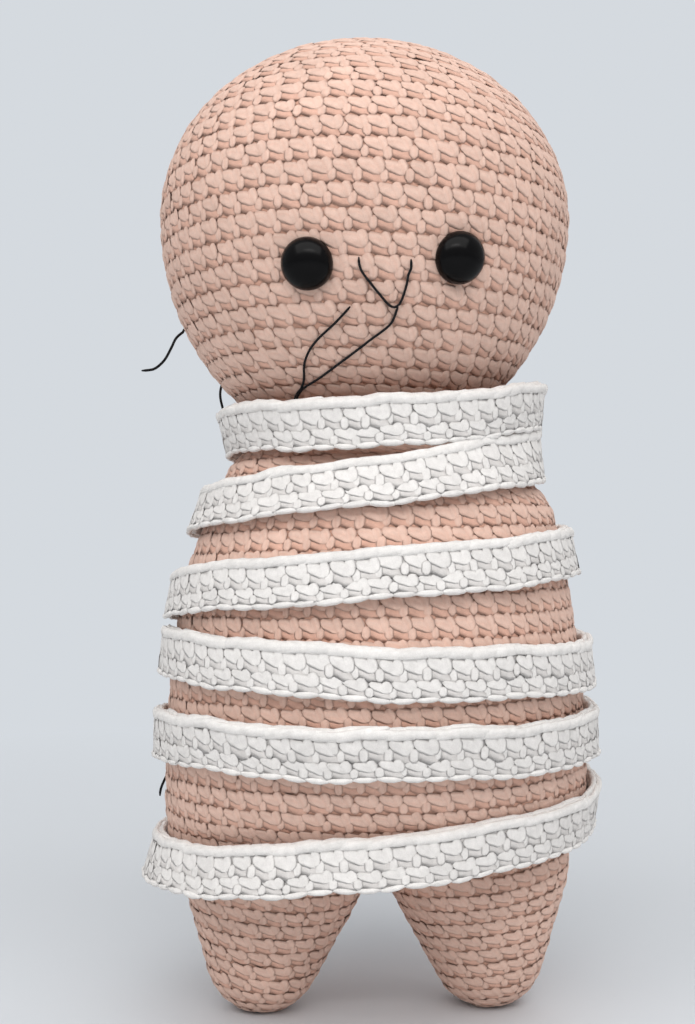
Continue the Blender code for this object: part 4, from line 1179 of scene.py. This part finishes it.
def floor_material():
    """Pale paper that takes the doll's shadow near it; further off the camera sees one even tone.

    Rays other than the camera's meet a greyer paper, so that little light comes up from below.
    """
    finish = bpy.data.materials.new("floor_paper")
    finish.use_nodes = True
    tree = finish.node_tree
    shader = tree.nodes["Principled BSDF"]
    ray = tree.nodes.new("ShaderNodeLightPath")
    tree.links.new(mix_colour(tree, ray.outputs["Is Camera Ray"], FLOOR_BOUNCE, FLOOR_COLOUR),
                   shader.inputs["Base Color"])
    shader.inputs["Roughness"].default_value = 0.95
    shader.inputs["Specular IOR Level"].default_value = 0.1
    place = tree.nodes.new("ShaderNodeTexCoord")
    distance = tree.nodes.new("ShaderNodeVectorMath")
    distance.operation = "LENGTH"
    tree.links.new(place.outputs["Object"], distance.inputs[0])
    far = tree.nodes.new("ShaderNodeMapRange")
    far.inputs["From Min"].default_value = 0.10
    far.inputs["From Max"].default_value = 0.40
    tree.links.new(distance.outputs["Value"], far.inputs["Value"])
    seen = math_node(tree, "MULTIPLY", far.outputs["Result"], ray.outputs["Is Camera Ray"])
    even = tree.nodes.new("ShaderNodeEmission")
    even.inputs["Color"].default_value = BACKGROUND_COLOUR
    mix = tree.nodes.new("ShaderNodeMixShader")
    tree.links.new(seen, mix.inputs["Fac"])
    tree.links.new(shader.outputs["BSDF"], mix.inputs[1])
    tree.links.new(even.outputs["Emission"], mix.inputs[2])
    tree.links.new(mix.outputs["Shader"], tree.nodes["Material Output"].inputs["Surface"])
    return finish


FLOOR_COLOUR = (0.645, 0.68, 0.72, 1)
FLOOR_BOUNCE = (0.68, 0.70, 0.72, 1)
BACKGROUND_COLOUR = (0.665, 0.700, 0.740, 1)
floor = make_floor()
world = bpy.data.worlds.new("surround")
world.use_nodes = True
lighting = world.node_tree.nodes["Background"]
lighting.inputs["Color"].default_value = (1.0, 0.985, 0.98, 1)
lighting.inputs["Strength"].default_value = 0.51
shown = world.node_tree.nodes.new("ShaderNodeBackground")
shown.inputs["Color"].default_value = BACKGROUND_COLOUR
either = world.node_tree.nodes.new("ShaderNodeMixShader")
world_ray = world.node_tree.nodes.new("ShaderNodeLightPath")
world.node_tree.links.new(world_ray.outputs["Is Camera Ray"], either.inputs["Fac"])
world.node_tree.links.new(lighting.outputs["Background"], either.inputs[1])
world.node_tree.links.new(shown.outputs["Background"], either.inputs[2])
world.node_tree.links.new(either.outputs["Shader"], world.node_tree.nodes["World Output"].inputs["Surface"])
bpy.context.scene.world = world


def soft_lamp(name, place, target, width, height, power, colour):
    """An oblong area lamp at a place, facing a target."""
    data = bpy.data.lights.new(name, "AREA")
    data.shape = "RECTANGLE"
    data.size = width
    data.size_y = height
    data.energy = power
    data.color = colour
    lamp = bpy.data.objects.new(name, data)
    lamp.location = place
    direction = np.array(target) - np.array(place)
    flat = np.hypot(direction[0], direction[1])
    lamp.rotation_euler = (np.pi / 2 + np.arctan2(direction[2], flat), 0,
                           np.arctan2(direction[1], direction[0]) - np.pi / 2)
    bpy.context.scene.collection.objects.link(lamp)
    return lamp


soft_lamp("window", (-0.06, -0.44, 0.58), (0, 0, 0.08), 1.2, 0.6, 4.4, (1.0, 0.985, 0.965))
soft_lamp("window_bar", (-0.06, -0.66, 0.50), (0, 0, 0.10), 0.42, 0.03, 0.55, (1.0, 0.985, 0.965))
soft_lamp("far_wall", (0.20, 0.55, 0.50), (0, 0, 0.06), 1.0, 0.6, 1.8, (1.0, 0.99, 0.98))
bpy.context.scene.view_settings.view_transform = "Standard"
print("floor and light done")
